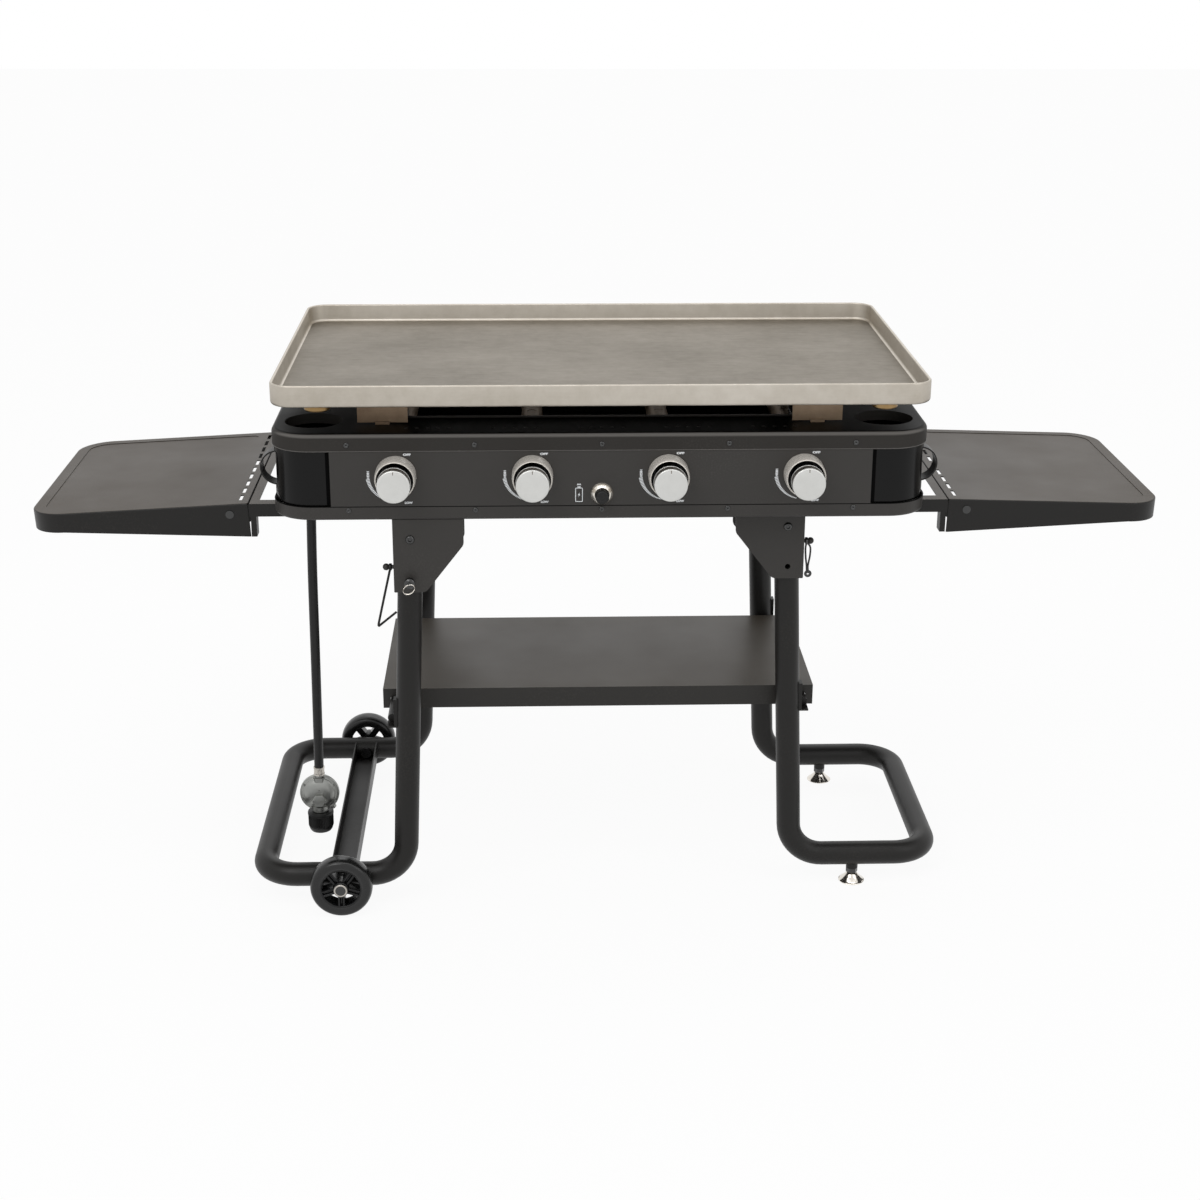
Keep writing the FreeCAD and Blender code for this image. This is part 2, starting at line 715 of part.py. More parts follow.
def make_manifold():
    """Square gas rail under the valves, with the feed pipe that comes up from the hose inlet."""
    half = MANIFOLD_SIDE / 2
    rail = box(
        -MANIFOLD_HALF, MANIFOLD_HALF, MANIFOLD_Y - half, MANIFOLD_Y + half,
        MANIFOLD_Z - half, MANIFOLD_Z + half,
    )
    hose_x, hose_y, _ = HOSE_ROUTE[0]
    turn_x = -(WELL_IN_X - 2 * FEED_R)
    route = [
        (-MANIFOLD_HALF + half, MANIFOLD_Y, MANIFOLD_Z), (turn_x, MANIFOLD_Y, MANIFOLD_Z),
        (turn_x, hose_y, MANIFOLD_Z), (hose_x, hose_y, MANIFOLD_Z),
        (hose_x, hose_y, PAN_Z),
    ]
    bend = 2 * FEED_R
    feed = bent_bar(route, [0, bend, bend, bend, 0], FEED_R)
    return rail.fuse([feed] + [rail_bracket(side * KNOB_PITCH) for side in (-1, 1)])


def rail_bracket(x):
    """An angle bracket from the gas rail to the back of the control panel's lower tab."""
    wall = FRONT_Y + 2 * SHEET
    top = BELT_Z + PANEL_TAB / 2 - SHEET
    half = RAIL_BRACKET / 2
    flange = box(x - half, x + half, wall, wall + SHEET, top - RAIL_BRACKET, top)
    leg = box(x - half, x + half, wall, MANIFOLD_Y, top - SHEET, top)
    return flange.fuse(leg)


def make_valves():
    """Brass tap valves on the rail: body, nozzle into the burner neck and stem to the knob."""
    valves = []
    base = MANIFOLD_Z + MANIFOLD_SIDE / 2
    back = MANIFOLD_Y + MANIFOLD_SIDE / 2
    half = VALVE_WIDTH / 2
    for x in KNOB_XS:
        top = BURNER_Z + NOZZLE_R + SHEET
        body = box(x - half, x + half, VALVE_FRONT, back, base, top)
        nozzle = rod(NOZZLE_R, (x, back, BURNER_Z), (x, back + NOZZLE, BURNER_Z))
        tip = FRONT_Y - STEM_REACH + LOOSE
        stem = rod(STEM_R, (x, tip, KNOB_Z), (x, VALVE_FRONT, KNOB_Z))
        valves.append(body.fuse([nozzle, stem]))
    return group(valves)


def make_electrodes():
    """Ceramic-sleeved spark rods lying beside the burners' fronts."""
    rods = []
    for x in KNOB_XS:
        side = x + BURNER_R + CERAMIC_R + RUNNING
        start = BURNER_FRONT + BURNER_R
        sleeve = rod(CERAMIC_R, (side, start, BURNER_Z), (side, start + CERAMIC, BURNER_Z))
        tip = start + 2 * CERAMIC
        wire = rod(ELECTRODE_R, (side, start, BURNER_Z), (side, tip, BURNER_Z))
        rods.append(sleeve.fuse(wire))
    return group(rods)


def make_spark_box():
    """The battery spark box behind the igniter, held in the panel by its threaded nose."""
    start = FRONT_Y + 2 * SHEET
    box_body = rod(SPARK_BOX_R + 4, (0, start, IGNITER_Z), (0, start + SPARK_BOX, IGNITER_Z))
    nose = rod(IGNITER_HOLE_R - RUNNING, (0, FRONT_Y, IGNITER_Z), (0, start, IGNITER_Z))
    well = rod(
        BUTTON_R + RUNNING, (0, FRONT_Y - 1, IGNITER_Z),
        (0, start + BUTTON_TRAVEL + LOOSE, IGNITER_Z),
    )
    return box_body.fuse(nose).cut(well)


def make_bezels():
    """Dished bright rings round the four knobs."""
    floor = SHEET
    inner = BEZEL_R - BEZEL_LIP
    chamfer = BEZEL_LIP / 3
    profile = [
        (BEZEL_BORE, 0), (BEZEL_R, 0), (BEZEL_R, BEZEL_RISE - chamfer),
        (BEZEL_R - chamfer, BEZEL_RISE), (inner + chamfer, BEZEL_RISE),
        (inner, BEZEL_RISE - chamfer), (inner, floor), (BEZEL_BORE, floor),
    ]
    return group([turned(profile, (x, FRONT_Y, KNOB_Z), (0, -1, 0)) for x in KNOB_XS])


def make_igniter_bezel():
    """The bright ring round the igniter button."""
    rise = IGNITER_BEZEL_RISE
    bore = BUTTON_R + RUNNING
    profile = [
        (bore, 0), (IGNITER_BEZEL_R, 0), (IGNITER_BEZEL_R, rise * 0.2),
        (IGNITER_BEZEL_R - rise * 0.1, rise * 0.6), (IGNITER_BEZEL_R - rise * 0.3, rise),
        (bore + rise * 0.2, rise), (bore, rise * 0.8),
    ]
    return turned(profile, (0, FRONT_Y, IGNITER_Z), (0, -1, 0))


def make_knob(x):
    """One knob: base flange, narrower neck, broad cap with a flat face, and a blind bore."""
    bore = STEM_R + RUNNING
    shoulder = KNOB_GAP + KNOB_FLANGE
    cap = KNOB_REACH - KNOB_CAP
    profile = [
        (bore, KNOB_GAP), (KNOB_FLANGE_R, KNOB_GAP), (KNOB_FLANGE_R, shoulder),
        (KNOB_NECK_R, shoulder), (KNOB_NECK_R, cap - SHEET), (KNOB_R, cap),
        (KNOB_R, KNOB_REACH - SHEET), (KNOB_R - SHEET, KNOB_REACH), (0, KNOB_REACH),
        (0, STEM_REACH), (bore, STEM_REACH),
    ]
    return turned(profile, (x, FRONT_Y, KNOB_Z), (0, -1, 0))


def make_button():
    """The igniter's push button, domed at the front."""
    deep = 2 * SHEET
    profile = [
        (0, -deep), (BUTTON_R, -deep), (BUTTON_R, BUTTON_REACH - 2),
        (BUTTON_R * 0.8, BUTTON_REACH - 0.6), (0, BUTTON_REACH),
    ]
    return turned(profile, (0, FRONT_Y, IGNITER_Z), (0, -1, 0))


def make_screws():
    """Ten pan-head screws along the front."""
    profile = [
        (0, SCREW_HEAD), (SCREW_HEAD_R * 0.8, SCREW_HEAD), (SCREW_HEAD_R, 0), (SCREW_R, 0),
        (SCREW_R, -SCREW_LENGTH + 1), (0, -SCREW_LENGTH + 1),
    ]
    screws = []
    for x in SCREW_XS:
        for z in SCREW_ZS:
            screws.append(turned(profile, (x, FRONT_Y, z), (0, -1, 0)))
    return group(screws)


def bracket_cheek(y):
    """One side plate of a right-hand leg bracket, lying at one depth."""
    low = PAN_Z - BRACKET_DROP
    shoulder = PAN_Z - BRACKET_SHOULDER
    points = [
        (BRACKET_OUT_X, y, PAN_Z), (BRACKET_OUT_X, y, low), (BRACKET_NOSE_X, y, low),
        (BRACKET_IN_X, y, shoulder), (BRACKET_IN_X, y, PAN_Z),
    ]
    radii = [0, SHEET, BRACKET_ROUND, BRACKET_ROUND, 0]
    return slab(points, radii, (0, BRACKET_SHEET, 0))


def make_bracket(track, side):
    """Right-hand leg bracket: two cheeks, an outer web and a top flange under the pan."""
    middle = side * track
    reach = TUBE_R + BRACKET_GAP
    low = PAN_Z - BRACKET_DROP
    front = bracket_cheek(middle - reach)
    back = bracket_cheek(middle + reach - BRACKET_SHEET)
    web = box(
        BRACKET_OUT_X - BRACKET_SHEET, BRACKET_OUT_X, middle - reach + BRACKET_SHEET,
        middle + reach - BRACKET_SHEET, low + SHEET, PAN_Z,
    )
    flange = box(
        BRACKET_IN_X, BRACKET_OUT_X - BRACKET_SHEET, middle - reach + BRACKET_SHEET,
        middle + reach - BRACKET_SHEET, PAN_Z - BRACKET_SHEET, PAN_Z,
    )
    holes = [
        rod(PIVOT_BOLT_R + RUNNING, (LEG_PIVOT_X, middle - reach - 1, PIVOT_Z),
            (LEG_PIVOT_X, middle + reach + 1, PIVOT_Z)),
        rod(PIN_R + RUNNING, (LOCK_X, middle - reach - 1, LOCK_Z),
            (LOCK_X, middle + reach + 1, LOCK_Z)),
    ]
    return front.fuse([back, web, flange]).cut(holes)


def with_stud(bracket, z, track):
    """A right-hand front bracket with the round stud that its wire keeper hangs on."""
    start = (BRACKET_OUT_X - BRACKET_SHEET / 2, -track, z)
    reach = BRACKET_OUT_X + 4 * BAIL_STUD_R
    stud = rod(BAIL_STUD_R - RUNNING, start, (reach, -track, z))
    ball = Part.makeSphere(BAIL_STUD_R + WIRE_R, V(reach, -track, z))
    return bracket.fuse([stud, ball])


def make_pivot_bolts():
    """Four leg pivot bolts, head to the front or back outside and nut inside."""
    bolts = []
    reach = TUBE_R + BRACKET_GAP
    profile = [
        (0, reach + 5), (PIVOT_BOLT_R, reach + 5), (PIVOT_BOLT_R * 1.7, reach + 2.5),
        (PIVOT_BOLT_R * 1.7, reach), (PIVOT_BOLT_R, reach), (PIVOT_BOLT_R, -reach),
        (PIVOT_BOLT_R * 1.7, -reach), (PIVOT_BOLT_R * 1.7, -reach - 7), (0, -reach - 7),
    ]
    for sx, track in ((-1, LEFT_TRACK), (1, RIGHT_TRACK)):
        for sy in (-1, 1):
            bolts.append(turned(profile, (sx * LEG_PIVOT_X, sy * track, PIVOT_Z), (0, sy, 0)))
    return group(bolts)


def leg_x(z):
    """How far out a leg's centre line is at a height."""
    return LEG_PIVOT_X + LEG_SPREAD * (PIVOT_Z - z) / (PIVOT_Z - LOOP_Z)


def make_leg_tube(track):
    """Right-hand leg frame: front leg, floor loop and back leg in one bent tube."""
    top = PIVOT_Z + LEG_STUB
    points = [
        (leg_x(top), -track, top), (leg_x(LOOP_Z), -track, LOOP_Z), (LOOP_X, -track, LOOP_Z),
        (LOOP_X, track, LOOP_Z), (leg_x(LOOP_Z), track, LOOP_Z), (leg_x(top), track, top),
    ]
    tube = bent_bar(points, [0, BEND_R, BEND_R, BEND_R, BEND_R, 0], TUBE_R)
    cuts = []
    low = LOOP_Z + BEND_R + TUBE_R
    for y in (-track, track):
        cuts.append(rod(TUBE_R - TUBE_WALL, (leg_x(top + 1), y, top + 1), (leg_x(low), y, low)))
        cuts.append(rod(
            PIVOT_BOLT_R + RUNNING, (LEG_PIVOT_X, y - 2 * TUBE_R, PIVOT_Z),
            (LEG_PIVOT_X, y + 2 * TUBE_R, PIVOT_Z),
        ))
        cuts.append(rod(
            PIN_R + RUNNING, (LOCK_X, y - 2 * TUBE_R, LOCK_Z), (LOCK_X, y + 2 * TUBE_R, LOCK_Z),
        ))
    return tube.cut(cuts)


def make_left_frame():
    """Left leg frame, drilled through for the two wheel bolts."""
    frame = mirrored(make_leg_tube(LEFT_TRACK))
    holes = []
    for side in (-1, 1):
        inner = side * (LEFT_TRACK - 2 * TUBE_R)
        outer = side * (LEFT_TRACK + 2 * TUBE_R)
        holes.append(rod(AXLE_R + RUNNING, (WHEEL_X, inner, LOOP_Z), (WHEEL_X, outer, LOOP_Z)))
    return frame.cut(holes)


def boss_bottom():
    """Underside of the threaded bosses below the right frame."""
    return LEVEL_PAD + NUT + SHEET


def make_right_frame():
    """Right leg frame, with a threaded boss under each floor run for its levelling foot."""
    frame = make_leg_tube(RIGHT_TRACK)
    bosses = []
    bores = []
    for y in (-RIGHT_TRACK, RIGHT_TRACK):
        bosses.append(rod(LEVEL_BOSS_R, (LEVEL_X, y, boss_bottom()), (LEVEL_X, y, LOOP_Z)))
        top = LOOP_Z + TUBE_R / 2
        bores.append(rod(LEVEL_STEM_R + RUNNING, (LEVEL_X, y, 0), (LEVEL_X, y, top)))
    return frame.fuse(bosses).cut(bores)


def make_foot(side):
    """A levelling foot: flared pad and threaded stem."""
    stem_top = LOOP_Z + TUBE_R / 2 - SHEET
    profile = [
        (0, 0), (LEVEL_PAD_R, 0), (LEVEL_PAD_R, 2), (LEVEL_PAD_R * 0.7, LEVEL_PAD * 0.35),
        (LEVEL_PAD_R * 0.45, LEVEL_PAD * 0.7), (LEVEL_PAD_R * 0.35, LEVEL_PAD),
        (LEVEL_STEM_R, LEVEL_PAD), (LEVEL_STEM_R, stem_top), (0, stem_top),
    ]
    return turned(profile, (LEVEL_X, side * RIGHT_TRACK, 0), (0, 0, 1))


def hexagon(radius, centre, thickness, bore):
    """A hexagon nut standing on a level face."""
    points = []
    for i in range(6):
        angle = math.radians(60 * i)
        points.append((
            centre[0] + radius * math.cos(angle), centre[1] + radius * math.sin(angle), centre[2],
        ))
    nut = slab(points, [0] * 6, (0, 0, thickness))
    top = (centre[0], centre[1], centre[2] + thickness + 1)
    return nut.cut(rod(bore, (centre[0], centre[1], centre[2] - 1), top))


def make_lock_nuts():
    """Jam nuts against the bosses of the levelling feet."""
    nuts = []
    for y in (-RIGHT_TRACK, RIGHT_TRACK):
        centre = (LEVEL_X, y, boss_bottom() - NUT)
        nuts.append(hexagon(NUT_R, centre, NUT, LEVEL_STEM_R + RUNNING))
    return group(nuts)


def make_beam():
    """Upward-open channel between the left frame's floor runs, coped to the tubes."""
    top = LOOP_Z + BEAM_RISE
    reach = LEFT_TRACK
    outer = box(
        WHEEL_X - BEAM_HALF_W, WHEEL_X + BEAM_HALF_W, -reach, reach, top - BEAM_DEPTH, top,
    )
    inner = box(
        WHEEL_X - BEAM_HALF_W + BEAM_SHEET, WHEEL_X + BEAM_HALF_W - BEAM_SHEET,
        -reach - 1, reach + 1, top - BEAM_DEPTH + BEAM_SHEET, top + 1,
    )
    ends = []
    for y in (-LEFT_TRACK, LEFT_TRACK):
        start = (WHEEL_X - 2 * BEAM_HALF_W, y, LOOP_Z)
        ends.append(rod(TUBE_R + RUNNING, start, (WHEEL_X + 2 * BEAM_HALF_W, y, LOOP_Z)))
        side = 1 if y > 0 else -1
        ends.append(box(
            WHEEL_X - 2 * BEAM_HALF_W, WHEEL_X + 2 * BEAM_HALF_W, y - side * TUBE_R / 2,
            y + side * TUBE_R, 0, 2 * LOOP_Z,
        ))
    return outer.cut(inner).cut(ends)


def make_wheel_bolts():
    """Stub axles through the tube: nut inside the beam, spacer collar, shank and flat head."""
    bolts = []
    inner = LEFT_TRACK - TUBE_R
    spacer = LEFT_TRACK + TUBE_R
    outer = spacer + WHEEL_GAP + WHEEL_WIDTH
    nut_r = min(AXLE_R * 1.5, BEAM_HALF_W - BEAM_SHEET - 1)
    profile = [
        (0, inner - 6), (nut_r, inner - 6), (nut_r, inner - LOOSE), (AXLE_R, inner - LOOSE),
        (AXLE_R, spacer + RUNNING), (HUB_R - 2, spacer + RUNNING),
        (HUB_R - 2, spacer + WHEEL_GAP - LOOSE), (AXLE_R, spacer + WHEEL_GAP - LOOSE),
        (AXLE_R, outer + LOOSE), (AXLE_HEAD_R, outer + LOOSE), (AXLE_HEAD_R, outer + AXLE_HEAD - 1),
        (AXLE_HEAD_R * 0.7, outer + AXLE_HEAD), (0, outer + AXLE_HEAD),
    ]
    for side in (-1, 1):
        bolts.append(turned(profile, (WHEEL_X, 0, LOOP_Z), (0, side, 0)))
    return group(bolts)


def wheel_start():
    """Depth of the wheels' inner faces."""
    return LEFT_TRACK + TUBE_R + WHEEL_GAP


def make_tyre(side):
    """Rubber tyre: a ring with a rounded tread."""
    near = wheel_start()
    far = near + WHEEL_WIDTH
    bed = WHEEL_R - TYRE_ROUND
    profile = [
        (RIM_R, near + 2), (bed, near), (WHEEL_R - TYRE_ROUND * 0.35, near + TYRE_ROUND * 0.3),
        (WHEEL_R, near + TYRE_ROUND), (WHEEL_R, far - TYRE_ROUND),
        (WHEEL_R - TYRE_ROUND * 0.35, far - TYRE_ROUND * 0.3), (bed, far), (RIM_R, far - 2),
    ]
    return turned(profile, (WHEEL_X, 0, LOOP_Z), (0, side, 0))


def make_wheel(side):
    """Moulded wheel: rim band, hub and five broad grooved spokes."""
    near = wheel_start()
    far = near + WHEEL_WIDTH
    inner_r = RIM_R - RIM_BAND
    rim = turned(
        [(inner_r, near + 2), (RIM_R, near + 2), (RIM_R, far - 2), (inner_r, far - 2)],
        (WHEEL_X, 0, LOOP_Z), (0, side, 0),
    )
    hub = turned(
        [(AXLE_R + RUNNING, near), (HUB_R, near), (HUB_R, far), (AXLE_R + RUNNING, far)],
        (WHEEL_X, 0, LOOP_Z), (0, side, 0),
    )
    spokes = []
    grooves = []
    for i in range(SPOKES):
        angle = -90 + i * 360 / SPOKES
        half = SPOKE_WIDTH / 2
        blade = box(HUB_R - 1.5, inner_r + 1, near + 6, far - 4, -half, half)
        groove = box(HUB_R + 1, inner_r - 1, far - 7, far, -SPOKE_GROOVE / 2, SPOKE_GROOVE / 2)
        for piece, kept in ((blade, spokes), (groove, grooves)):
            if side < 0:
                piece = piece.mirror(V(0, 0, 0), V(0, 1, 0))
            piece.rotate(V(0, 0, 0), V(0, -1, 0), angle)
            piece.translate(V(WHEEL_X, 0, LOOP_Z))
            kept.append(piece)
    return rim.fuse([hub] + spokes).cut(grooves)


def make_shelf():
    """Lift-off shelf: a sheet turned down all round, notched at each end for its two rods."""
    low = SHELF_Z - SHELF_EDGE
    outer = box(-SHELF_HALF_W, SHELF_HALF_W, -SHELF_HALF_D, SHELF_HALF_D, low, SHELF_Z)
    wall_w = SHELF_HALF_W - SHEET
    wall_d = SHELF_HALF_D - SHEET
    inner = box(-wall_w, wall_w, -wall_d, wall_d, low - 1, SHELF_Z - SHEET)
    notches = []
    notch_r = ROD_R + LOOSE
    reach = SHELF_HALF_D + 1
    for x in (-ROD_X, ROD_X):
        notches.append(rod(notch_r, (x, -reach, ROD_Z), (x, reach, ROD_Z)))
        notches.append(box(x - notch_r, x + notch_r, -reach, reach, low - 1, ROD_Z))
    return outer.cut(inner).cut(notches)


def make_shelf_rods():
    """The two round rods that the shelf hooks over."""
    left_end = LEFT_TRACK - ROD_SHORT
    right_end = RIGHT_TRACK - ROD_SHORT
    return group([
        rod(ROD_R, (-ROD_X, -left_end, ROD_Z), (-ROD_X, left_end, ROD_Z)),
        rod(ROD_R, (ROD_X, -right_end, ROD_Z), (ROD_X, right_end, ROD_Z)),
    ])


def make_saddle(track, side):
    """Right-hand rod saddle: a strap coped to the leg, with a ledge under the rod's end."""
    ledge_top = ROD_Z - ROD_R - LOOSE
    low = ledge_top - SADDLE_SHEET
    y = side * track
    out_x = leg_x(ROD_Z) + TUBE_R + SADDLE_SHEET
    stop = track - ROD_SHORT + 1.5
    strap = box(
        leg_x(ROD_Z), out_x, side * stop, side * (track + SADDLE_HALF),
        low, low + SADDLE_HEIGHT,
    )
    ledge = box(
        leg_x(ROD_Z), ROD_X + ROD_R, side * (track - 2 * SADDLE_HALF),
        side * (track + SADDLE_HALF), low, ledge_top,
    )
    top = PIVOT_Z
    tube = rod(TUBE_R + RUNNING, (leg_x(top), y, top), (leg_x(LOOP_Z), y, LOOP_Z))
    return strap.fuse(ledge).cut(tube).Solids


def outer_solid(solids):
    """The solid of a coped piece that lies outside the tube."""
    return max(solids, key=lambda solid: solid.CenterOfMass.x)


def make_saddles(track):
    return group([outer_solid(make_saddle(track, side)) for side in (-1, 1)])


def make_rail():
    """Right-hand table rail: two square rails under the pan, arms, hangers and a lipped strip."""
    pieces = []
    out_y = TABLE_HALF_D - SHEET - LOOSE
    in_y = out_y - RAIL_SIDE
    strip_x = TABLE_IN_X - LOOSE
    inboard = BODY_HALF_W - RAIL_UNDER
    for side in (-1, 1):
        y0 = side * in_y
        y1 = side * out_y
        under = box(inboard, BODY_HALF_W + LOOSE, y0, y1, RAIL_Z, PAN_Z)
        full = box(BODY_HALF_W + LOOSE, strip_x, y0, y1, RAIL_Z, TABLE_Z)
        arm_low = HINGE_Z - ARM_R
        arm = box(strip_x - 1, HINGE_X, y0, y1, arm_low, HINGE_Z + ARM_R)
        eye = rod(ARM_R, (HINGE_X, y0, HINGE_Z), (HINGE_X, y1, HINGE_Z))
        hang_x = strip_x - SHEET
        hanger = box(hang_x - RAIL_HANGER, hang_x, y0, y1, RAIL_Z - RAIL_HANGER_DROP, RAIL_Z)
        pieces += [under, full, arm, eye, hanger]
    strip = box(strip_x - STRIP_WIDTH, strip_x, -in_y, in_y, TABLE_Z - SHEET, TABLE_Z)
    lip_z = TABLE_Z - 3 * SHEET
    turn_down = box(strip_x - SHEET, strip_x, -in_y, in_y, lip_z, TABLE_Z)
    lip = box(strip_x - SHEET, TABLE_IN_X + STRIP_LIP, -in_y, in_y, lip_z, lip_z + SHEET)
    rail = strip.fuse(pieces + [turn_down, lip])
    reach = TABLE_HALF_D + 1
    pin = HINGE_PIN_R + RUNNING
    bore = rod(pin, (HINGE_X, -reach, HINGE_Z), (HINGE_X, reach, HINGE_Z))
    return rail.cut(bore).removeSplitter()


def make_table(droop):
    """Right-hand drop table: a sheet with deep tapering skirts, slots and rounded corners."""
    deep = TABLE_SKIRT_IN
    low = TABLE_Z - deep
    half = TABLE_HALF_D
    outline = [
        (TABLE_IN_X, -half, low), (TABLE_OUT_X, -half, low), (TABLE_OUT_X, half, low),
        (TABLE_IN_X, half, low),
    ]
    corner = TABLE_CORNER
    outer = slab(outline, [TABLE_IN_CORNER, corner, corner, TABLE_IN_CORNER], (0, 0, deep))
    outer = outer.makeFillet(TABLE_ROLL, outer_top_edges(outer))
    wall = SHEET
    inner_outline = [
        (TABLE_IN_X - 1, -half + wall, low - 1), (TABLE_OUT_X - wall, -half + wall, low - 1),
        (TABLE_OUT_X - wall, half - wall, low - 1), (TABLE_IN_X - 1, half - wall, low - 1),
    ]
    inner_radii = [0, corner - wall, corner - wall, 0]
    inner = slab(inner_outline, inner_radii, (0, 0, deep + 1 - wall))
    inner = inner.makeFillet(TABLE_ROLL - wall, outer_top_edges(inner))
    reach = TABLE_HALF_D + 2
    taper = [
        (TABLE_IN_X - 1, -reach, low - 1), (TABLE_OUT_X + 1, -reach, low - 1),
        (TABLE_OUT_X + 1, -reach, TABLE_Z - TABLE_SKIRT_OUT),
        (TABLE_OUT_X - corner, -reach, TABLE_Z - TABLE_SKIRT_OUT), (TABLE_IN_X - 1, -reach, low),
    ]
    wedge = slab(taper, [0] * 5, (0, 2 * reach, 0))
    pin = HINGE_PIN_R + RUNNING
    cuts = [wedge, rod(pin, (HINGE_X, -reach, HINGE_Z), (HINGE_X, reach, HINGE_Z))]
    for i in range(SLOT_COUNT):
        y = (i - (SLOT_COUNT - 1) / 2) * SLOT_PITCH
        x = TABLE_IN_X + SLOT_IN
        cuts.append(box(
            x - SLOT_WIDTH / 2, x + SLOT_WIDTH / 2, y - SLOT_LENGTH / 2, y + SLOT_LENGTH / 2,
            TABLE_Z - 2 * wall, TABLE_Z + 1,
        ))
    pressed = table_panel(TABLE_Z - TABLE_PANEL_DROP - wall)
    cuts.append(table_panel(TABLE_Z - TABLE_PANEL_DROP).cut(pressed))
    table = outer.cut(inner).fuse(pressed).cut(cuts)
    table.rotate(V(HINGE_X, 0, HINGE_Z), V(0, 1, 0), droop)
    return table


def table_panel(low):
    """The right-hand table's sunken field, from a height up for one sheet."""
    inset = TABLE_PANEL_INSET
    near = TABLE_IN_X + SLOT_IN + inset
    far = TABLE_OUT_X - inset
    half = TABLE_HALF_D - inset
    outline = [(near, -half, low), (far, -half, low), (far, half, low), (near, half, low)]
    corner = TABLE_CORNER - inset
    return slab(outline, [inset / 2, corner, corner, inset / 2], (0, 0, SHEET))


def outer_top_edges(shape):
    """The top edges of a table blank, without the one at its inner end."""
    top = shape.BoundBox.ZMax
    low_x = shape.BoundBox.XMin
    return [e for e in level_edges(shape, top) if e.BoundBox.XMax > low_x + TABLE_IN_CORNER + 1e-3]


def make_hinge_pins():
    """Headed pins through the table skirts and the rail arms."""
    pins = []
    outside = TABLE_HALF_D + LOOSE
    inside = TABLE_HALF_D - 2 * SHEET - RAIL_SIDE
    profile = [
        (0, outside + 2), (HINGE_PIN_R * 1.5, outside + 1), (HINGE_PIN_R * 1.5, outside),
        (HINGE_PIN_R, outside), (HINGE_PIN_R, inside), (0, inside),
    ]
    for sx in (-1, 1):
        for sy in (-1, 1):
            pins.append(turned(profile, (sx * HINGE_X, 0, HINGE_Z), (0, sy, 0)))
    return group(pins)


def make_lock_pin(track, sx, sy):
    """A pull pin in a bracket's outer cheek, with a round grip."""
    nose = TUBE_R + LOOSE
    face = TUBE_R + BRACKET_GAP + LOOSE
    profile = [
        (0, nose), (PIN_R, nose), (PIN_R, face), (PIN_GRIP_R, face),
        (PIN_GRIP_R, face + PIN_GRIP), (PIN_GRIP_R - SHEET, face + PIN_GRIP + SHEET),
        (0, face + PIN_GRIP + SHEET),
    ]
    return turned(profile, (sx * LOCK_X, sy * track, LOCK_Z), (0, sy, 0))


def make_bail():
    """Left wire bail: an eye on its stud, a long leg down and a short tail turned back."""
    x = -(BRACKET_OUT_X + 2 * BAIL_STUD_R)
    y = -LEFT_TRACK
    eye_r = BAIL_STUD_R + RUNNING
    eye = rod(eye_r + WIRE_R, (x - WIRE_R, y, BAIL_Z), (x + WIRE_R, y, BAIL_Z))
    hole = rod(eye_r, (x - 2 * WIRE_R, y, BAIL_Z), (x + 2 * WIRE_R, y, BAIL_Z))
    foot = BAIL_Z - BAIL_DROP
    route = [
        (x, y, BAIL_Z - eye_r - WIRE_R / 2), (x - BAIL_KICK, y, foot),
        (x - BAIL_KICK + BAIL_TAIL, y, foot + BAIL_TAIL_RISE),
    ]
    wire = bent_bar(route, [0, 2 * WIRE_R, 0], WIRE_R)
    return eye.fuse(wire).cut(hole)


def make_latch():
    """Right wire latch: an eye on its stud and a narrow closed loop below it."""
    x = BRACKET_OUT_X + 2 * BAIL_STUD_R
    y = -RIGHT_TRACK
    eye_r = BAIL_STUD_R + RUNNING
    eye = rod(eye_r + WIRE_R, (x - WIRE_R, y, LATCH_Z), (x + WIRE_R, y, LATCH_Z))
    hole = rod(eye_r, (x - 2 * WIRE_R, y, LATCH_Z), (x + 2 * WIRE_R, y, LATCH_Z))
    foot = LATCH_Z - LATCH_DROP
    route = [
        (x, y, LATCH_Z - eye_r - WIRE_R / 2), (x + LATCH_WIDTH, y, LATCH_Z - LATCH_DROP / 2),
        (x, y, foot), (x - LATCH_WIDTH / 2, y, foot + 6 * WIRE_R),
    ]
    wire = bent_bar(route, [0, 4 * WIRE_R, 2 * WIRE_R, 0], WIRE_R)
    return eye.fuse(wire).cut(hole)


def hose_radii():
    """The largest arc that two neighbouring runs allow at each point of the hose."""
    points = [V(*p) for p in HOSE_ROUTE]
    radii = [0]
    for before, point, after in zip(points, points[1:], points[2:]):
        turn = (point - before).getAngle(after - point)
        run = min((point - before).Length, (after - point).Length)
        radii.append(RUN_SHARE * run / math.tan(turn / 2))
    return radii + [0]


def make_hose():
    radii = hose_radii()
    print("hose arc radii", [round(r) for r in radii[1:-1]])
    hose = bent_bar(HOSE_ROUTE, radii, HOSE_R)
    length = sum(edge.Length for edge in rounded_edges(HOSE_ROUTE, radii, False))
    print("hose length", round(length, 1), "volume ratio",
          round(hose.Volume / (math.pi * HOSE_R ** 2 * length), 4))
    return hose


def make_gland():
    """Hose inlet under the pan: a flange, a hexagon and a short barrel."""
    x, y, z = HOSE_ROUTE[0]
    flange = rod(GLAND_FLANGE_R, (x, y, PAN_Z - GLAND_FLANGE), (x, y, PAN_Z))
    start = V(*HOSE_ROUTE[0])
    up = (start - V(*HOSE_ROUTE[1])).normalize()
    barrel = rod(GLAND_R - SHEET, start, start + up * (PAN_Z - z - GLAND_FLANGE / 2))
    nut = hexagon(GLAND_R + 1, (x, y, PAN_Z - GLAND_FLANGE - GLAND_NUT), GLAND_NUT, SHEET)
    return flange.fuse([barrel, nut])


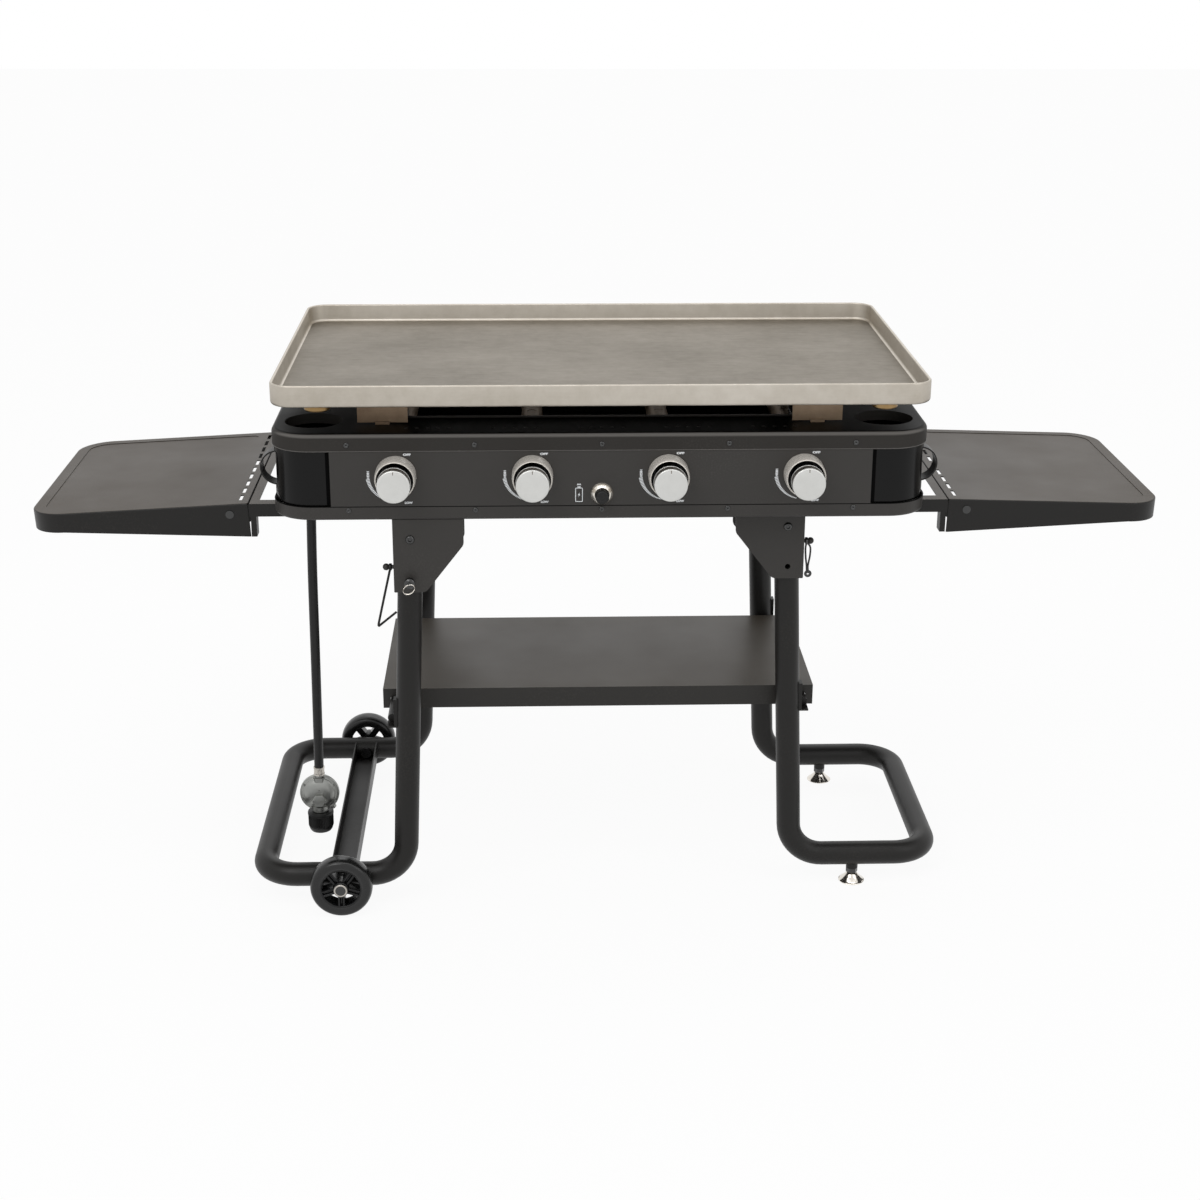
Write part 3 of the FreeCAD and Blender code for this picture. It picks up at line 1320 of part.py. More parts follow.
def make_ferrule():
    """Crimped sleeve at the hose's lower end."""
    return rod(FERRULE_R, HOSE_ROUTE[-1], past_hose_end(FERRULE))


def past_hose_end(reach):
    """A point beyond the hose's lower end, along its last run."""
    end = V(*HOSE_ROUTE[-1])
    return end + (end - V(*HOSE_ROUTE[-2])).normalize() * reach


def regulator_centre():
    return past_hose_end(FERRULE + REGULATOR_R)


def make_regulator():
    """Gas regulator: a round diaphragm housing with a stepped bonnet, spigot and vent."""
    x, y, z = regulator_centre()
    half = REGULATOR_DEPTH / 2
    profile = [
        (0, -half), (REGULATOR_R * 0.6, -half), (REGULATOR_R * 0.88, -REGULATOR_RIM / 2),
        (REGULATOR_R, -REGULATOR_RIM / 2), (REGULATOR_R, REGULATOR_RIM / 2),
        (REGULATOR_R * 0.85, REGULATOR_RIM / 2), (REGULATOR_R * 0.46, half * 0.6),
        (REGULATOR_R * 0.42, half), (0, half),
    ]
    housing = turned(profile, (x, y, z), (0, -1, 0))
    neck = rod(FERRULE_R - 1, regulator_centre(), past_hose_end(FERRULE))
    low = z - REGULATOR_R - SPIGOT
    spigot = rod(SPIGOT_R, (x, y, low - HAND_NUT / 2), (x, y, z - REGULATOR_R + 6))
    return housing.fuse([neck, spigot])


def make_hand_nut():
    """Hand nut on the regulator's spigot, open below."""
    x, y, z = regulator_centre()
    top = -REGULATOR_R - LOOSE
    low = top - HAND_NUT
    bore = SPIGOT_R + RUNNING
    mouth = HAND_NUT_R * 0.72
    shoulder = top - HAND_NUT / 2
    profile = [
        (bore, top), (HAND_NUT_R - 2, top), (HAND_NUT_R, top - 3), (HAND_NUT_R, low + 9),
        (HAND_NUT_R * 0.86, low + 2), (HAND_NUT_R * 0.78, low), (mouth, low),
        (mouth, shoulder), (bore, shoulder),
    ]
    return turned(profile, (x, y, z), (0, 0, 1))


def save_body():
    save("griddle_plate", make_plate())
    save("plate_support_feet", make_plate_feet())
    save("plate_corner_pads", make_plate_pads())
    save("top_deck", make_deck())
    save("control_panel", make_panel())
    save("bottom_pan", make_pan())
    save("rear_shell", make_rear_shell())
    well = make_well()
    save("corner_pod_right", well)
    save("corner_pod_left", mirrored(well))
    handle = make_handle()
    save("side_handle_right", handle)
    save("side_handle_left", mirrored(handle))
    save("handle_rivets", make_rivets())
    save("panel_screws", make_screws())


def save_gas_train():
    save("burners", make_burners())
    save("gas_manifold", make_manifold())
    save("gas_valves", make_valves())
    save("spark_electrodes", make_electrodes())
    save("igniter_module", make_spark_box())
    save("knob_bezels", make_bezels())
    save("igniter_bezel", make_igniter_bezel())
    for number, x in enumerate(KNOB_XS, 1):
        save("knob_%d" % number, make_knob(x))
    save("igniter_button", make_button())


def save_legs():
    bail_bracket = with_stud(make_bracket(LEFT_TRACK, -1), BAIL_Z, LEFT_TRACK)
    save("left_front_bracket", mirrored(bail_bracket))
    save("left_back_bracket", mirrored(make_bracket(LEFT_TRACK, 1)))
    save("right_front_bracket", with_stud(make_bracket(RIGHT_TRACK, -1), LATCH_Z, RIGHT_TRACK))
    save("right_back_bracket", make_bracket(RIGHT_TRACK, 1))
    save("pivot_bolts", make_pivot_bolts())
    save("lock_pin_left", make_lock_pin(LEFT_TRACK, -1, -1))
    save("lock_pin_right", make_lock_pin(RIGHT_TRACK, 1, 1))
    save("wire_bail_left", make_bail())
    save("wire_latch_right", make_latch())
    save("left_leg_frame", make_left_frame())
    save("right_leg_frame", make_right_frame())
    save("left_rod_saddles", mirrored(make_saddles(LEFT_TRACK)))
    save("right_rod_saddles", make_saddles(RIGHT_TRACK))
    save("axle_beam", make_beam())
    save("wheel_bolts", make_wheel_bolts())
    for name, side in (("front", -1), ("rear", 1)):
        save("%s_tyre" % name, make_tyre(side))
        save("%s_wheel" % name, make_wheel(side))
        save("%s_foot" % name, make_foot(side))
    save("foot_lock_nuts", make_lock_nuts())


def save_shelf_and_tables():
    save("lower_shelf", make_shelf())
    save("shelf_rods", make_shelf_rods())
    rail = make_rail()
    save("table_rail_right", rail)
    save("table_rail_left", mirrored(rail))
    save("right_side_table", make_table(TABLE_DROOP_RIGHT))
    save("left_side_table", mirrored(make_table(TABLE_DROOP_LEFT)))
    save("table_hinge_pins", make_hinge_pins())


def save_hose():
    save("hose_inlet_gland", make_gland())
    save("gas_hose", make_hose())
    save("hose_ferrule", make_ferrule())
    save("regulator", make_regulator())
    save("connector_nut", make_hand_nut())


os.makedirs("parts", exist_ok=True)
save_body()
save_gas_train()
save_legs()
save_shelf_and_tables()
save_hose()
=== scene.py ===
"""Outdoor gas griddle station: the looks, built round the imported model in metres."""
import json
import math

import bmesh
import bpy
import numpy as np
from mathutils import Matrix, Vector


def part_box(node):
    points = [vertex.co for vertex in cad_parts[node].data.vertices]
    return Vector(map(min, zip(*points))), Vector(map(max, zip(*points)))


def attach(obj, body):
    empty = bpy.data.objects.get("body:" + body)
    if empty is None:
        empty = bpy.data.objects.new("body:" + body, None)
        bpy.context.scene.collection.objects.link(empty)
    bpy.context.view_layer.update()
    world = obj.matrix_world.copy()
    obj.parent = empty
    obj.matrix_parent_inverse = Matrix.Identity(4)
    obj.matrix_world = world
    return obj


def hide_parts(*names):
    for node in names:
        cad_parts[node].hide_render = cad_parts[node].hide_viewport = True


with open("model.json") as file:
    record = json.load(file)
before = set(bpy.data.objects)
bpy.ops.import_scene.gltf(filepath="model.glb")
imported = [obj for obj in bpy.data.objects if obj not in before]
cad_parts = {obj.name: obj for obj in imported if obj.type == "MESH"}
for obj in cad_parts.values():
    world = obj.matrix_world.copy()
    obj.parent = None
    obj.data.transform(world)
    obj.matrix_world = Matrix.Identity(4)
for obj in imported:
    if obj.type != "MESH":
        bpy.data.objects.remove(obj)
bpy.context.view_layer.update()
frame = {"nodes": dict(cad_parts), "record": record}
NODES = frame["nodes"]
MM = 0.001

# The photograph's camera: its place in metres, its angles, and its lens and sensor in mm
CAMERA_AT = (-0.09565, -2.93008, 1.45844)
CAMERA_YAW = math.radians(1.994)
CAMERA_PITCH = math.radians(19.8)
CAMERA_ROLL = math.radians(0.195)
LENS = 59.96
SENSOR = 36.0

# The hose's route, from its inlet under the pan to the regulator, and what hangs on it
HOSE_R = 7.2 * MM
HOSE_ROUTE = [
    (-0.4250, -0.0868, 0.588),
    (-0.4275, -0.0873, 0.500),
    (-0.4285, -0.0893, 0.392),
    (-0.4300, -0.0878, 0.282),
    (-0.4320, -0.0868, 0.164),
]

# The deck's corner radius, and the half sizes and corner radius of its cross-shaped opening
DECK_CORNER = 57.0
FIRE_W, FIRE_D = 275.0, 168.0
FIRE_WIDE_W, FIRE_WIDE_D = 340.0, 130.0
FIRE_CORNER = 8.0

# The signs of x and y in the four corners of a rectangle, anticlockwise from above
QUARTERS = ((1, 1), (-1, 1), (-1, -1), (1, -1))

# The depth of a knob's cap, and how many flutes its side has
KNOB_CAP = 18.0
KNOB_FLUTES = 40

# The printed marks stand this far proud of the panel
PRINT_FILM = 0.1

# The radius where a tyre meets its wheel's rim
TYRE_SEAT = 31.0

# The body that most pieces ride on, the knobs and the wheels by number and name, and the
# sign of x at the station's two ends
BODY = "griddle_body"
KNOBS = range(1, 5)
WHEELS = ("front", "rear")
SIDES = ((-1, "left"), (1, "right"))

# The lamps: where each one is, what it faces, its width and height, and its power in watts
LAMPS = {
    "key": ((-1.6, -2.4, 3.0), (0, 0, 0.5), (2.0, 1.4), 26),
    "fill": ((2.2, -1.8, 2.0), (0, 0, 0.5), (1.6, 1.6), 9),
    "rim": ((0.3, 2.4, 2.4), (0, 0, 0.6), (2.4, 1.0), 8),
    "strip": ((0, -0.9, 2.6), (0, -0.25, 0.7), (2.8, 0.25), 8),
}


def grid(points, close_rows=False, close_columns=False, cap_first=False, cap_last=False):
    """Quads between the neighbours of a grid of points, and a flat face over an end row."""
    points = np.asarray(points, float)
    rows, columns = points.shape[:2]
    index = np.arange(rows * columns).reshape(rows, columns)
    first, last = index[0].tolist(), index[-1].tolist()
    if close_rows:
        index = np.vstack([index, index[:1]])
    if close_columns:
        index = np.hstack([index, index[:, :1]])
    corners = [index[:-1, :-1], index[:-1, 1:], index[1:, 1:], index[1:, :-1]]
    faces = np.stack(corners, -1).reshape(-1, 4).tolist()
    if cap_first:
        faces.append(first[::-1])
    if cap_last:
        faces.append(last)
    return points.reshape(-1, 3), faces


def basis(axis):
    """Two unit vectors square to an axis, and the axis, all of length one."""
    axis = np.asarray(axis, float) / np.linalg.norm(axis)
    side = np.array([1.0, 0, 0]) if abs(axis[0]) < 0.9 else np.array([0, 1.0, 0])
    across = np.cross(axis, side)
    across /= np.linalg.norm(across)
    return np.cross(across, axis), across, axis


def turned(profile, centre, axis, sides=64, flutes=0, depth=0.0, fluted=(0, 0)):
    """A profile of (radius, height) points turned about an axis, in millimetres. Between the
    two fluted heights the radius is drawn in by depth times the square of a cosine that runs
    round the axis once for each flute."""
    profile = np.asarray(profile, float)
    angle = np.linspace(0, 2 * np.pi, sides, endpoint=False)
    radius = np.repeat(profile[:, :1], sides, 1)
    if flutes:
        inside = (profile[:, 1:] > fluted[0]) & (profile[:, 1:] < fluted[1])
        radius = radius - depth * inside * np.cos(angle * flutes / 2)[None] ** 2
    u, v, w = basis(axis)
    round_part = np.cos(angle)[None, :, None] * u + np.sin(angle)[None, :, None] * v
    points = radius[..., None] * round_part + profile[:, 1][:, None, None] * w
    return grid(points * MM + np.asarray(centre, float) * MM, close_columns=True)


def smooth_profile(points, per_run=6):
    """A profile through the given points on a Catmull-Rom curve, which keeps to each point."""
    p = np.asarray(points, float)
    p = np.vstack([2 * p[0] - p[1], p, 2 * p[-1] - p[-2]])
    t = np.linspace(0, 1, per_run, endpoint=False)[:, None]
    runs = []
    for a, b, c, d in zip(p, p[1:], p[2:], p[3:]):
        runs.append(0.5 * (2 * b + (c - a) * t + (2 * a - 5 * b + 4 * c - d) * t ** 2
                           + (3 * b - a - 3 * c + d) * t ** 3))
    return np.vstack(runs + [p[-2:-1]])


def rounded_loop(half_w, half_d, radius, steps=10):
    """Points round a rectangle whose corners are quarter circles, anticlockwise from above."""
    turn = np.linspace(0, np.pi / 2, steps)
    loop = []
    for quarter, (sx, sy) in enumerate(QUARTERS):
        angle = turn + quarter * np.pi / 2
        loop.append(np.stack([
            sx * (half_w - radius) + radius * np.cos(angle),
            sy * (half_d - radius) + radius * np.sin(angle),
        ], 1))
    return np.vstack(loop)


def pipe(path, radius, sides=12):
    """A round tube along a path: at each point a circle square to the path's direction, carried
    on from the last one without twist."""
    path = np.asarray(path, float)
    tangent = np.gradient(path, axis=0)
    tangent /= np.linalg.norm(tangent, axis=1)[:, None]
    u, v, _ = basis(tangent[0])
    angle = np.linspace(0, 2 * np.pi, sides, endpoint=False)
    rings = []
    for at, along in zip(path, tangent):
        u = u - along * np.dot(u, along)
        u /= np.linalg.norm(u)
        v = np.cross(along, u)
        rings.append(at + radius * (np.cos(angle)[:, None] * u + np.sin(angle)[:, None] * v))
    return grid(np.array(rings) * MM, close_columns=True, cap_first=True, cap_last=True)


def closed_bead(path, radius, sides=10):
    """A round bead along a closed level path."""
    path = np.asarray(path, float)
    ahead = np.roll(path, -1, 0) - np.roll(path, 1, 0)
    ahead /= np.linalg.norm(ahead, axis=1)[:, None]
    upright = np.array([0, 0, 1.0])
    across = np.cross(ahead, upright)
    angle = np.linspace(0, 2 * np.pi, sides, endpoint=False)[None, :, None]
    rings = path[:, None] + radius * (np.cos(angle) * across[:, None] + np.sin(angle) * upright)
    return grid(rings * MM, close_rows=True, close_columns=True)


def new_object(name, data):
    """An object in the scene that holds the given mesh, curve, lamp or camera."""
    obj = bpy.data.objects.new(name, data)
    bpy.context.scene.collection.objects.link(obj)
    return obj


def piece(name, parts, material, body, node=None, sharp=35):
    """One object from several grids, doubles merged, faces outwards, riding on its body."""
    points, faces, start = [], [], 0
    for some_points, some_faces in parts:
        points.append(some_points)
        faces += [[i + start for i in face] for face in some_faces]
        start += len(some_points)
    mesh = bpy.data.meshes.new(name)
    mesh.from_pydata(np.vstack(points).tolist(), [], faces)
    bm = bmesh.new()
    bm.from_mesh(mesh)
    bmesh.ops.remove_doubles(bm, verts=bm.verts, dist=1e-6)
    bmesh.ops.recalc_face_normals(bm, faces=bm.faces)
    bm.to_mesh(mesh)
    bm.free()
    mesh.shade_smooth()
    mesh.set_sharp_from_angle(angle=math.radians(sharp))
    mesh.materials.append(material)
    obj = new_object(name, mesh)
    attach(obj, body)
    if node:
        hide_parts(node)
    return obj


def node_group(name, inputs, outputs):
    """An empty shader group with float inputs and outputs, and its two end nodes."""
    group = bpy.data.node_groups.new(name, "ShaderNodeTree")
    for label, default in inputs.items():
        socket = group.interface.new_socket(label, in_out="INPUT", socket_type="NodeSocketFloat")
        socket.default_value = default
    for label in outputs:
        group.interface.new_socket(label, in_out="OUTPUT", socket_type="NodeSocketFloat")
    return group, group.nodes.new("NodeGroupInput"), group.nodes.new("NodeGroupOutput")


def add(tree, kind, values=None, **settings):
    """A node with its settings, and values or links for its inputs."""
    node = tree.nodes.new(kind)
    for key, value in settings.items():
        setattr(node, key, value)
    for key, value in (values or {}).items():
        if isinstance(value, bpy.types.NodeSocket):
            tree.links.new(value, node.inputs[key])
        else:
            node.inputs[key].default_value = value
    return node


def noise(tree, vector, scale, detail, roughness=0.5):
    """A noise value at each point of the vector, from 0 to 1."""
    values = {"Vector": vector, "Scale": scale, "Detail": detail, "Roughness": roughness}
    return add(tree, "ShaderNodeTexNoise", values).outputs["Fac"]


def math_node(tree, operation, *values):
    """The result of a sum on numbers or links."""
    return add(tree, "ShaderNodeMath", dict(enumerate(values)), operation=operation).outputs[0]


def make_coat_group():
    """Powder coat: orange peel for the bump, and a slow drift for roughness and dust."""
    group, into, out = node_group(
        "powder_coat_grain", {"Peel Scale": 900.0, "Drift Scale": 7.0}, ["Peel", "Drift", "Dust"])
    place = add(group, "ShaderNodeTexCoord").outputs["Object"]
    coarse = noise(group, place, into.outputs["Peel Scale"], 3.0, 0.6)
    drift = noise(group, place, into.outputs["Drift Scale"], 3.0, 0.55)
    speck = noise(group, place, 420.0, 1.0)
    dust = add(group, "ShaderNodeMapRange", {
        "Value": math_node(group, "MULTIPLY", drift, speck), "From Min": 0.3, "From Max": 0.5})
    group.links.new(coarse, out.inputs["Peel"])
    group.links.new(drift, out.inputs["Drift"])
    group.links.new(dust.outputs[0], out.inputs["Dust"])
    return group


def make_brush_group():
    """Brushed or rolled metal: noise drawn out along X, and broad soft stains."""
    group, into, out = node_group(
        "rolled_metal", {"Line Scale": 900.0, "Stain Scale": 6.0}, ["Line", "Stain", "Mottle"])
    place = add(group, "ShaderNodeTexCoord").outputs["Object"]
    drawn = add(group, "ShaderNodeVectorMath", {0: place, 1: (0.03, 1.0, 1.0)},
                operation="MULTIPLY")
    line = noise(group, drawn.outputs[0], into.outputs["Line Scale"], 2.0, 0.6)
    stain = noise(group, place, into.outputs["Stain Scale"], 4.0, 0.6)
    mottle = noise(group, place, 60.0, 4.0, 0.65)
    for label, value in (("Line", line), ("Stain", stain), ("Mottle", mottle)):
        group.links.new(value, out.inputs[label])
    return group


COAT = make_coat_group()
BRUSH = make_brush_group()


def new_material(name):
    """A material, its node tree and its Principled shader."""
    material = bpy.data.materials.new(name)
    material.use_nodes = True
    tree = material.node_tree
    return material, tree, tree.nodes["Principled BSDF"]


def ramp(tree, value, low, high, start, end):
    """A colour that runs from one to the other while the value goes from start to end."""
    node = add(tree, "ShaderNodeValToRGB", {"Fac": value})
    node.color_ramp.elements[0].position = start
    node.color_ramp.elements[1].position = end
    node.color_ramp.elements[0].color = (*low, 1)
    node.color_ramp.elements[1].color = (*high, 1)
    return node.outputs["Color"]


def mixed(tree, share, first, second):
    """A colour between two, which may each be a colour or a link."""
    mix = tree.nodes.new("ShaderNodeMix")
    mix.data_type = "RGBA"
    factor, a, b = (next(i for i in mix.inputs if i.identifier == key)
                    for key in ("Factor_Float", "A_Color", "B_Color"))
    for socket, value in ((factor, share), (a, first), (b, second)):
        if isinstance(value, bpy.types.NodeSocket):
            tree.links.new(value, socket)
        else:
            socket.default_value = value
    return next(o for o in mix.outputs if o.identifier == "Result_Color")


def spread(tree, value, low, high):
    """A number that follows a noise value between two ends."""
    node = add(tree, "ShaderNodeMapRange", {
        "Value": value, "From Min": 0.3, "From Max": 0.7, "To Min": low, "To Max": high})
    return node.outputs[0]


def bump(tree, shader, height, strength, distance):
    """Tilts a shader's normal by the slope of a height."""
    node = add(tree, "ShaderNodeBump", {
        "Height": height, "Strength": strength, "Distance": distance})
    tree.links.new(node.outputs[0], shader.inputs["Normal"])


def coated(name, dark, light, rough, peel_depth=0.05 * MM, peel=900.0, specular=0.3,
           level=None, bend=None):
    """Powder-coated steel: near-black film, slow drift in gloss, orange peel and faint dust.
    The faces that look up at rest may have a colour of their own, a painted light or painted
    shade, and the rolled bend between them and the front may have one too, a painted highlight."""
    material, tree, shader = new_material(name)
    grain = add(tree, "ShaderNodeGroup", node_tree=COAT)
    grain.inputs["Peel Scale"].default_value = peel
    colour = ramp(tree, grain.outputs["Dust"], dark, light, 0.0, 1.0)
    # Painted light and shade: faces whose normal looks up take the level colour in place of the
    # light or shade that falls on them
    if level:
        place = add(tree, "ShaderNodeTexCoord").outputs["Normal"]
        facing = add(tree, "ShaderNodeSeparateXYZ", {0: place})
        # Painted highlight: the bend colour goes on the rolled bend that faces up and forwards,
        # where a lamp's highlight would sit
        if bend:
            raised = add(tree, "ShaderNodeMapRange", {
                "Value": facing.outputs["Z"], "From Min": 0.15, "From Max": 0.5})
            ahead = add(tree, "ShaderNodeMapRange", {
                "Value": facing.outputs["Y"], "From Min": -0.35, "From Max": -0.6})
            painted_highlight_mask = math_node(tree, "MULTIPLY", raised.outputs[0], ahead.outputs[0])
            colour = mixed(tree, painted_highlight_mask, colour, (*bend, 1))
        painted_level_mask = add(tree, "ShaderNodeMapRange", {
            "Value": facing.outputs["Z"], "From Min": 0.85, "From Max": 0.97})
        colour = mixed(tree, painted_level_mask.outputs[0], colour, (*level, 1))
    tree.links.new(colour, shader.inputs["Base Color"])
    tree.links.new(spread(tree, grain.outputs["Drift"], rough - 0.04, rough + 0.06),
                   shader.inputs["Roughness"])
    shader.inputs["Specular IOR Level"].default_value = specular
    bump(tree, shader, grain.outputs["Peel"], 0.35, peel_depth)
    return material


def metal(name, dark, light, rough, line=900.0, depth=0.02 * MM, metallic=1.0):
    """Bare or plated metal with rolled lines, stains and mottling."""
    material, tree, shader = new_material(name)
    grain = add(tree, "ShaderNodeGroup", node_tree=BRUSH)
    grain.inputs["Line Scale"].default_value = line
    stain = math_node(tree, "MULTIPLY", grain.outputs["Stain"], 0.65)
    patches = math_node(tree, "MULTIPLY_ADD", grain.outputs["Mottle"], 0.35, stain)
    tree.links.new(ramp(tree, patches, dark, light, 0.35, 0.65), shader.inputs["Base Color"])
    tree.links.new(spread(tree, grain.outputs["Line"], rough - 0.06, rough + 0.06),
                   shader.inputs["Roughness"])
    shader.inputs["Metallic"].default_value = metallic
    bump(tree, shader, grain.outputs["Line"], 0.4, depth)
    return material


# Each finish by name: its darker and its lighter colour, its roughness, and its grain
MATERIALS = {
    "black_steel": coated("black_steel", (0.0075, 0.0068, 0.006), (0.015, 0.0135, 0.012), 0.40),
    # table_steel: the black coat, with a lighter warm colour on its tops that paints light on them
    "table_steel": coated("table_steel", (0.0075, 0.0068, 0.006), (0.015, 0.0135, 0.012), 0.40,
                          level=(0.038, 0.027, 0.016)),
    # shelf_steel: the black coat made lighter, with lighter tops still, both painted light on the
    # shelf
    "shelf_steel": coated("shelf_steel", (0.020, 0.0185, 0.0165), (0.030, 0.028, 0.025), 0.40,
                          level=(0.075, 0.063, 0.048)),
    # A light grey coat that paints a highlight along the thin edge beads
    "edge_highlight_steel": coated("edge_highlight_steel", (0.085, 0.08, 0.075), (0.13, 0.12, 0.11), 0.35),
    # panel_steel: the black coat made lighter, a painted light on the front faces of the panel,
    # pan and front brackets
    "panel_steel": coated("panel_steel", (0.034, 0.0315, 0.029), (0.044, 0.041, 0.038), 0.42),
    # deck_steel: the black coat made lighter on its front (painted light), near black on its top
    # under the plate (painted shade), and light on its front roll (painted highlight)
    "deck_steel": coated("deck_steel", (0.038, 0.0355, 0.033), (0.048, 0.045, 0.042), 0.42,
                         level=(0.001, 0.0009, 0.0008), bend=(0.14, 0.133, 0.125),
                         specular=0.04),
    "gloss_black": coated("gloss_black", (0.002, 0.002, 0.002), (0.005, 0.005, 0.005), 0.20,
                          specular=0.2),
    "black_screw": coated("black_screw", (0.003, 0.003, 0.003), (0.006, 0.006, 0.006), 0.15,
                          0.01 * MM, 1600.0, specular=0.8),
    "black_plastic": coated("black_plastic", (0.007, 0.007, 0.007), (0.016, 0.016, 0.015), 0.38,
                            0.04 * MM, 1400.0),
    "wheel_plastic": coated("wheel_plastic", (0.006, 0.006, 0.0065), (0.012, 0.012, 0.012), 0.22,
                            0.02 * MM),
    "tyre": coated("tyre", (0.007, 0.007, 0.007), (0.017, 0.0165, 0.016), 0.27, 0.04 * MM, 700.0,
                   specular=0.45),
    "hose_rubber": coated("hose_rubber", (0.008, 0.008, 0.008), (0.018, 0.018, 0.017), 0.40,
                          0.05 * MM, 600.0),
    "ceramic": coated("ceramic", (0.62, 0.60, 0.56), (0.72, 0.70, 0.66), 0.30),
    "bare_steel": metal("bare_steel", (0.46, 0.42, 0.36), (0.58, 0.54, 0.48), 0.46),
    "plate_floor": metal("plate_floor", (0.168, 0.149, 0.120), (0.242, 0.218, 0.183), 0.52),
    "bronzed_steel": metal("bronzed_steel", (0.20, 0.135, 0.085), (0.34, 0.25, 0.17), 0.46,
                           metallic=0.7),
    "brass": metal("brass", (0.26, 0.165, 0.07), (0.38, 0.26, 0.13), 0.38),
    "zinc": metal("zinc", (0.25, 0.255, 0.245), (0.37, 0.375, 0.355), 0.36, 500.0),
    "nickel": metal("nickel", (0.42, 0.395, 0.36), (0.54, 0.51, 0.465), 0.28),
    "chrome": metal("chrome", (0.70, 0.66, 0.60), (0.80, 0.76, 0.70), 0.14, depth=0.002 * MM),
    "satin_chrome": metal("satin_chrome", (0.74, 0.70, 0.64), (0.84, 0.80, 0.74), 0.26,
                          depth=0.004 * MM, metallic=0.35),
    # A near-black, dull coat that paints the shade in the body's gaps
    "painted_shade_black": coated("painted_shade_black", (0.0008, 0.0008, 0.0008), (0.0016, 0.0015, 0.0014), 0.7,
                         specular=0.05),
    "knob_silver": metal("knob_silver", (0.60, 0.60, 0.58), (0.68, 0.68, 0.66), 0.36,
                         1500.0, metallic=0.75),
    "knob_side": metal("knob_side", (0.14, 0.12, 0.10), (0.22, 0.19, 0.165), 0.26,
                       metallic=0.9),
    "print_white": coated("print_white", (0.70, 0.72, 0.74), (0.80, 0.81, 0.82), 0.5),
}
# The finish of each CAD node: its slot's own, or a closer one where the photograph shows it
SLOTS = {s["node"]: s["material_slot"] for s in frame["record"]["subparts"]}
# These overrides are copies of the black coat carrying painted light and shade on the panel, pan,
# brackets, deck, tables and shelf
SLOTS |= {
    "control_panel": "panel_steel", "bottom_pan": "panel_steel", "top_deck": "deck_steel",
    "left_front_bracket": "panel_steel", "right_front_bracket": "panel_steel",
    "left_side_table": "table_steel", "right_side_table": "table_steel",
    "table_rail_left": "table_steel", "table_rail_right": "table_steel",
    "lower_shelf": "shelf_steel",
}
for node_name, cad_node in NODES.items():
    cad_node.data.materials.clear()
    cad_node.data.materials.append(MATERIALS[SLOTS[node_name]])


def span(node):
    """The lowest and highest corner of a CAD node, in millimetres."""
    low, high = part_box(node)
    return np.array(low) / MM, np.array(high) / MM


def middle(node):
    """The middle of a CAD node's box, in millimetres."""
    low, high = span(node)
    return (low + high) / 2


def faces_in_depth(node):
    """The side a node is on, -1 in front or 1 behind, and how far from the station's middle
    its near and far faces are."""
    low, high = span(node)
    return (-1 if high[1] < 0 else 1, *sorted((abs(low[1]), abs(high[1]))))


def paint_level_faces(obj, material, below):
    """Gives the faces that look up, below a height in metres, another material."""
    mesh = obj.data
    count = len(mesh.polygons)
    normal, centre = np.empty(count * 3), np.empty(count * 3)
    mesh.polygons.foreach_get("normal", normal)
    mesh.polygons.foreach_get("center", centre)
    height = centre[2::3]
    chosen = (normal[2::3] > 0.9) & (height < below)
    mesh.materials.append(material)
    mesh.polygons.foreach_set("material_index", chosen.astype(np.int32))
    mesh.update()


# The panel's front face, the way it looks, and the point each joint turns about
FRONT = span("control_panel")[0][1]
TOWARDS_FRONT = (0, -1, 0)
PIVOTS = {joint["name"]: np.array(joint["pos_m"]) / MM
          for joint in frame["record"]["behaviour"]["joints"] if "pos_m" in joint}


def make_plate():
    """The cooking plate: rounded outlines stacked along a rolled bottom, an upright wall, a
    rounded rim and the fillet down to its floor."""
    low, high = span("griddle_plate")
    half_w, half_d = (high - low)[:2] / 2
    back = middle("griddle_plate")[1]
    corner, wall, roll = 32.0, 4.0, 5.0
    bend = np.linspace(0, np.pi / 2, 7)
    profile = [(roll - roll * np.sin(a), low[2] + roll - roll * np.cos(a)) for a in bend]
    rim = wall / 2
    profile += [(rim - rim * np.cos(a), high[2] - rim + rim * np.sin(a))
                for a in np.linspace(0, np.pi, 9)]
    inner = roll - 1.0
    profile += [(wall + inner - inner * np.cos(a), low[2] + wall + inner - inner * np.sin(a))
                for a in bend]
    loops = []
    for inset, z in profile:
        loop = rounded_loop(half_w - inset, half_d - inset, corner - inset, 12) + [0, back]
        loops.append(np.column_stack([loop, np.full(len(loop), z)]) * MM)
    parts = [grid(loops, close_columns=True, cap_first=True, cap_last=True)]
    plate = piece("cooking_plate", parts, MATERIALS["bare_steel"], BODY, "griddle_plate")
    paint_level_faces(plate, MATERIALS["plate_floor"], (low[2] + wall + 0.1) * MM)


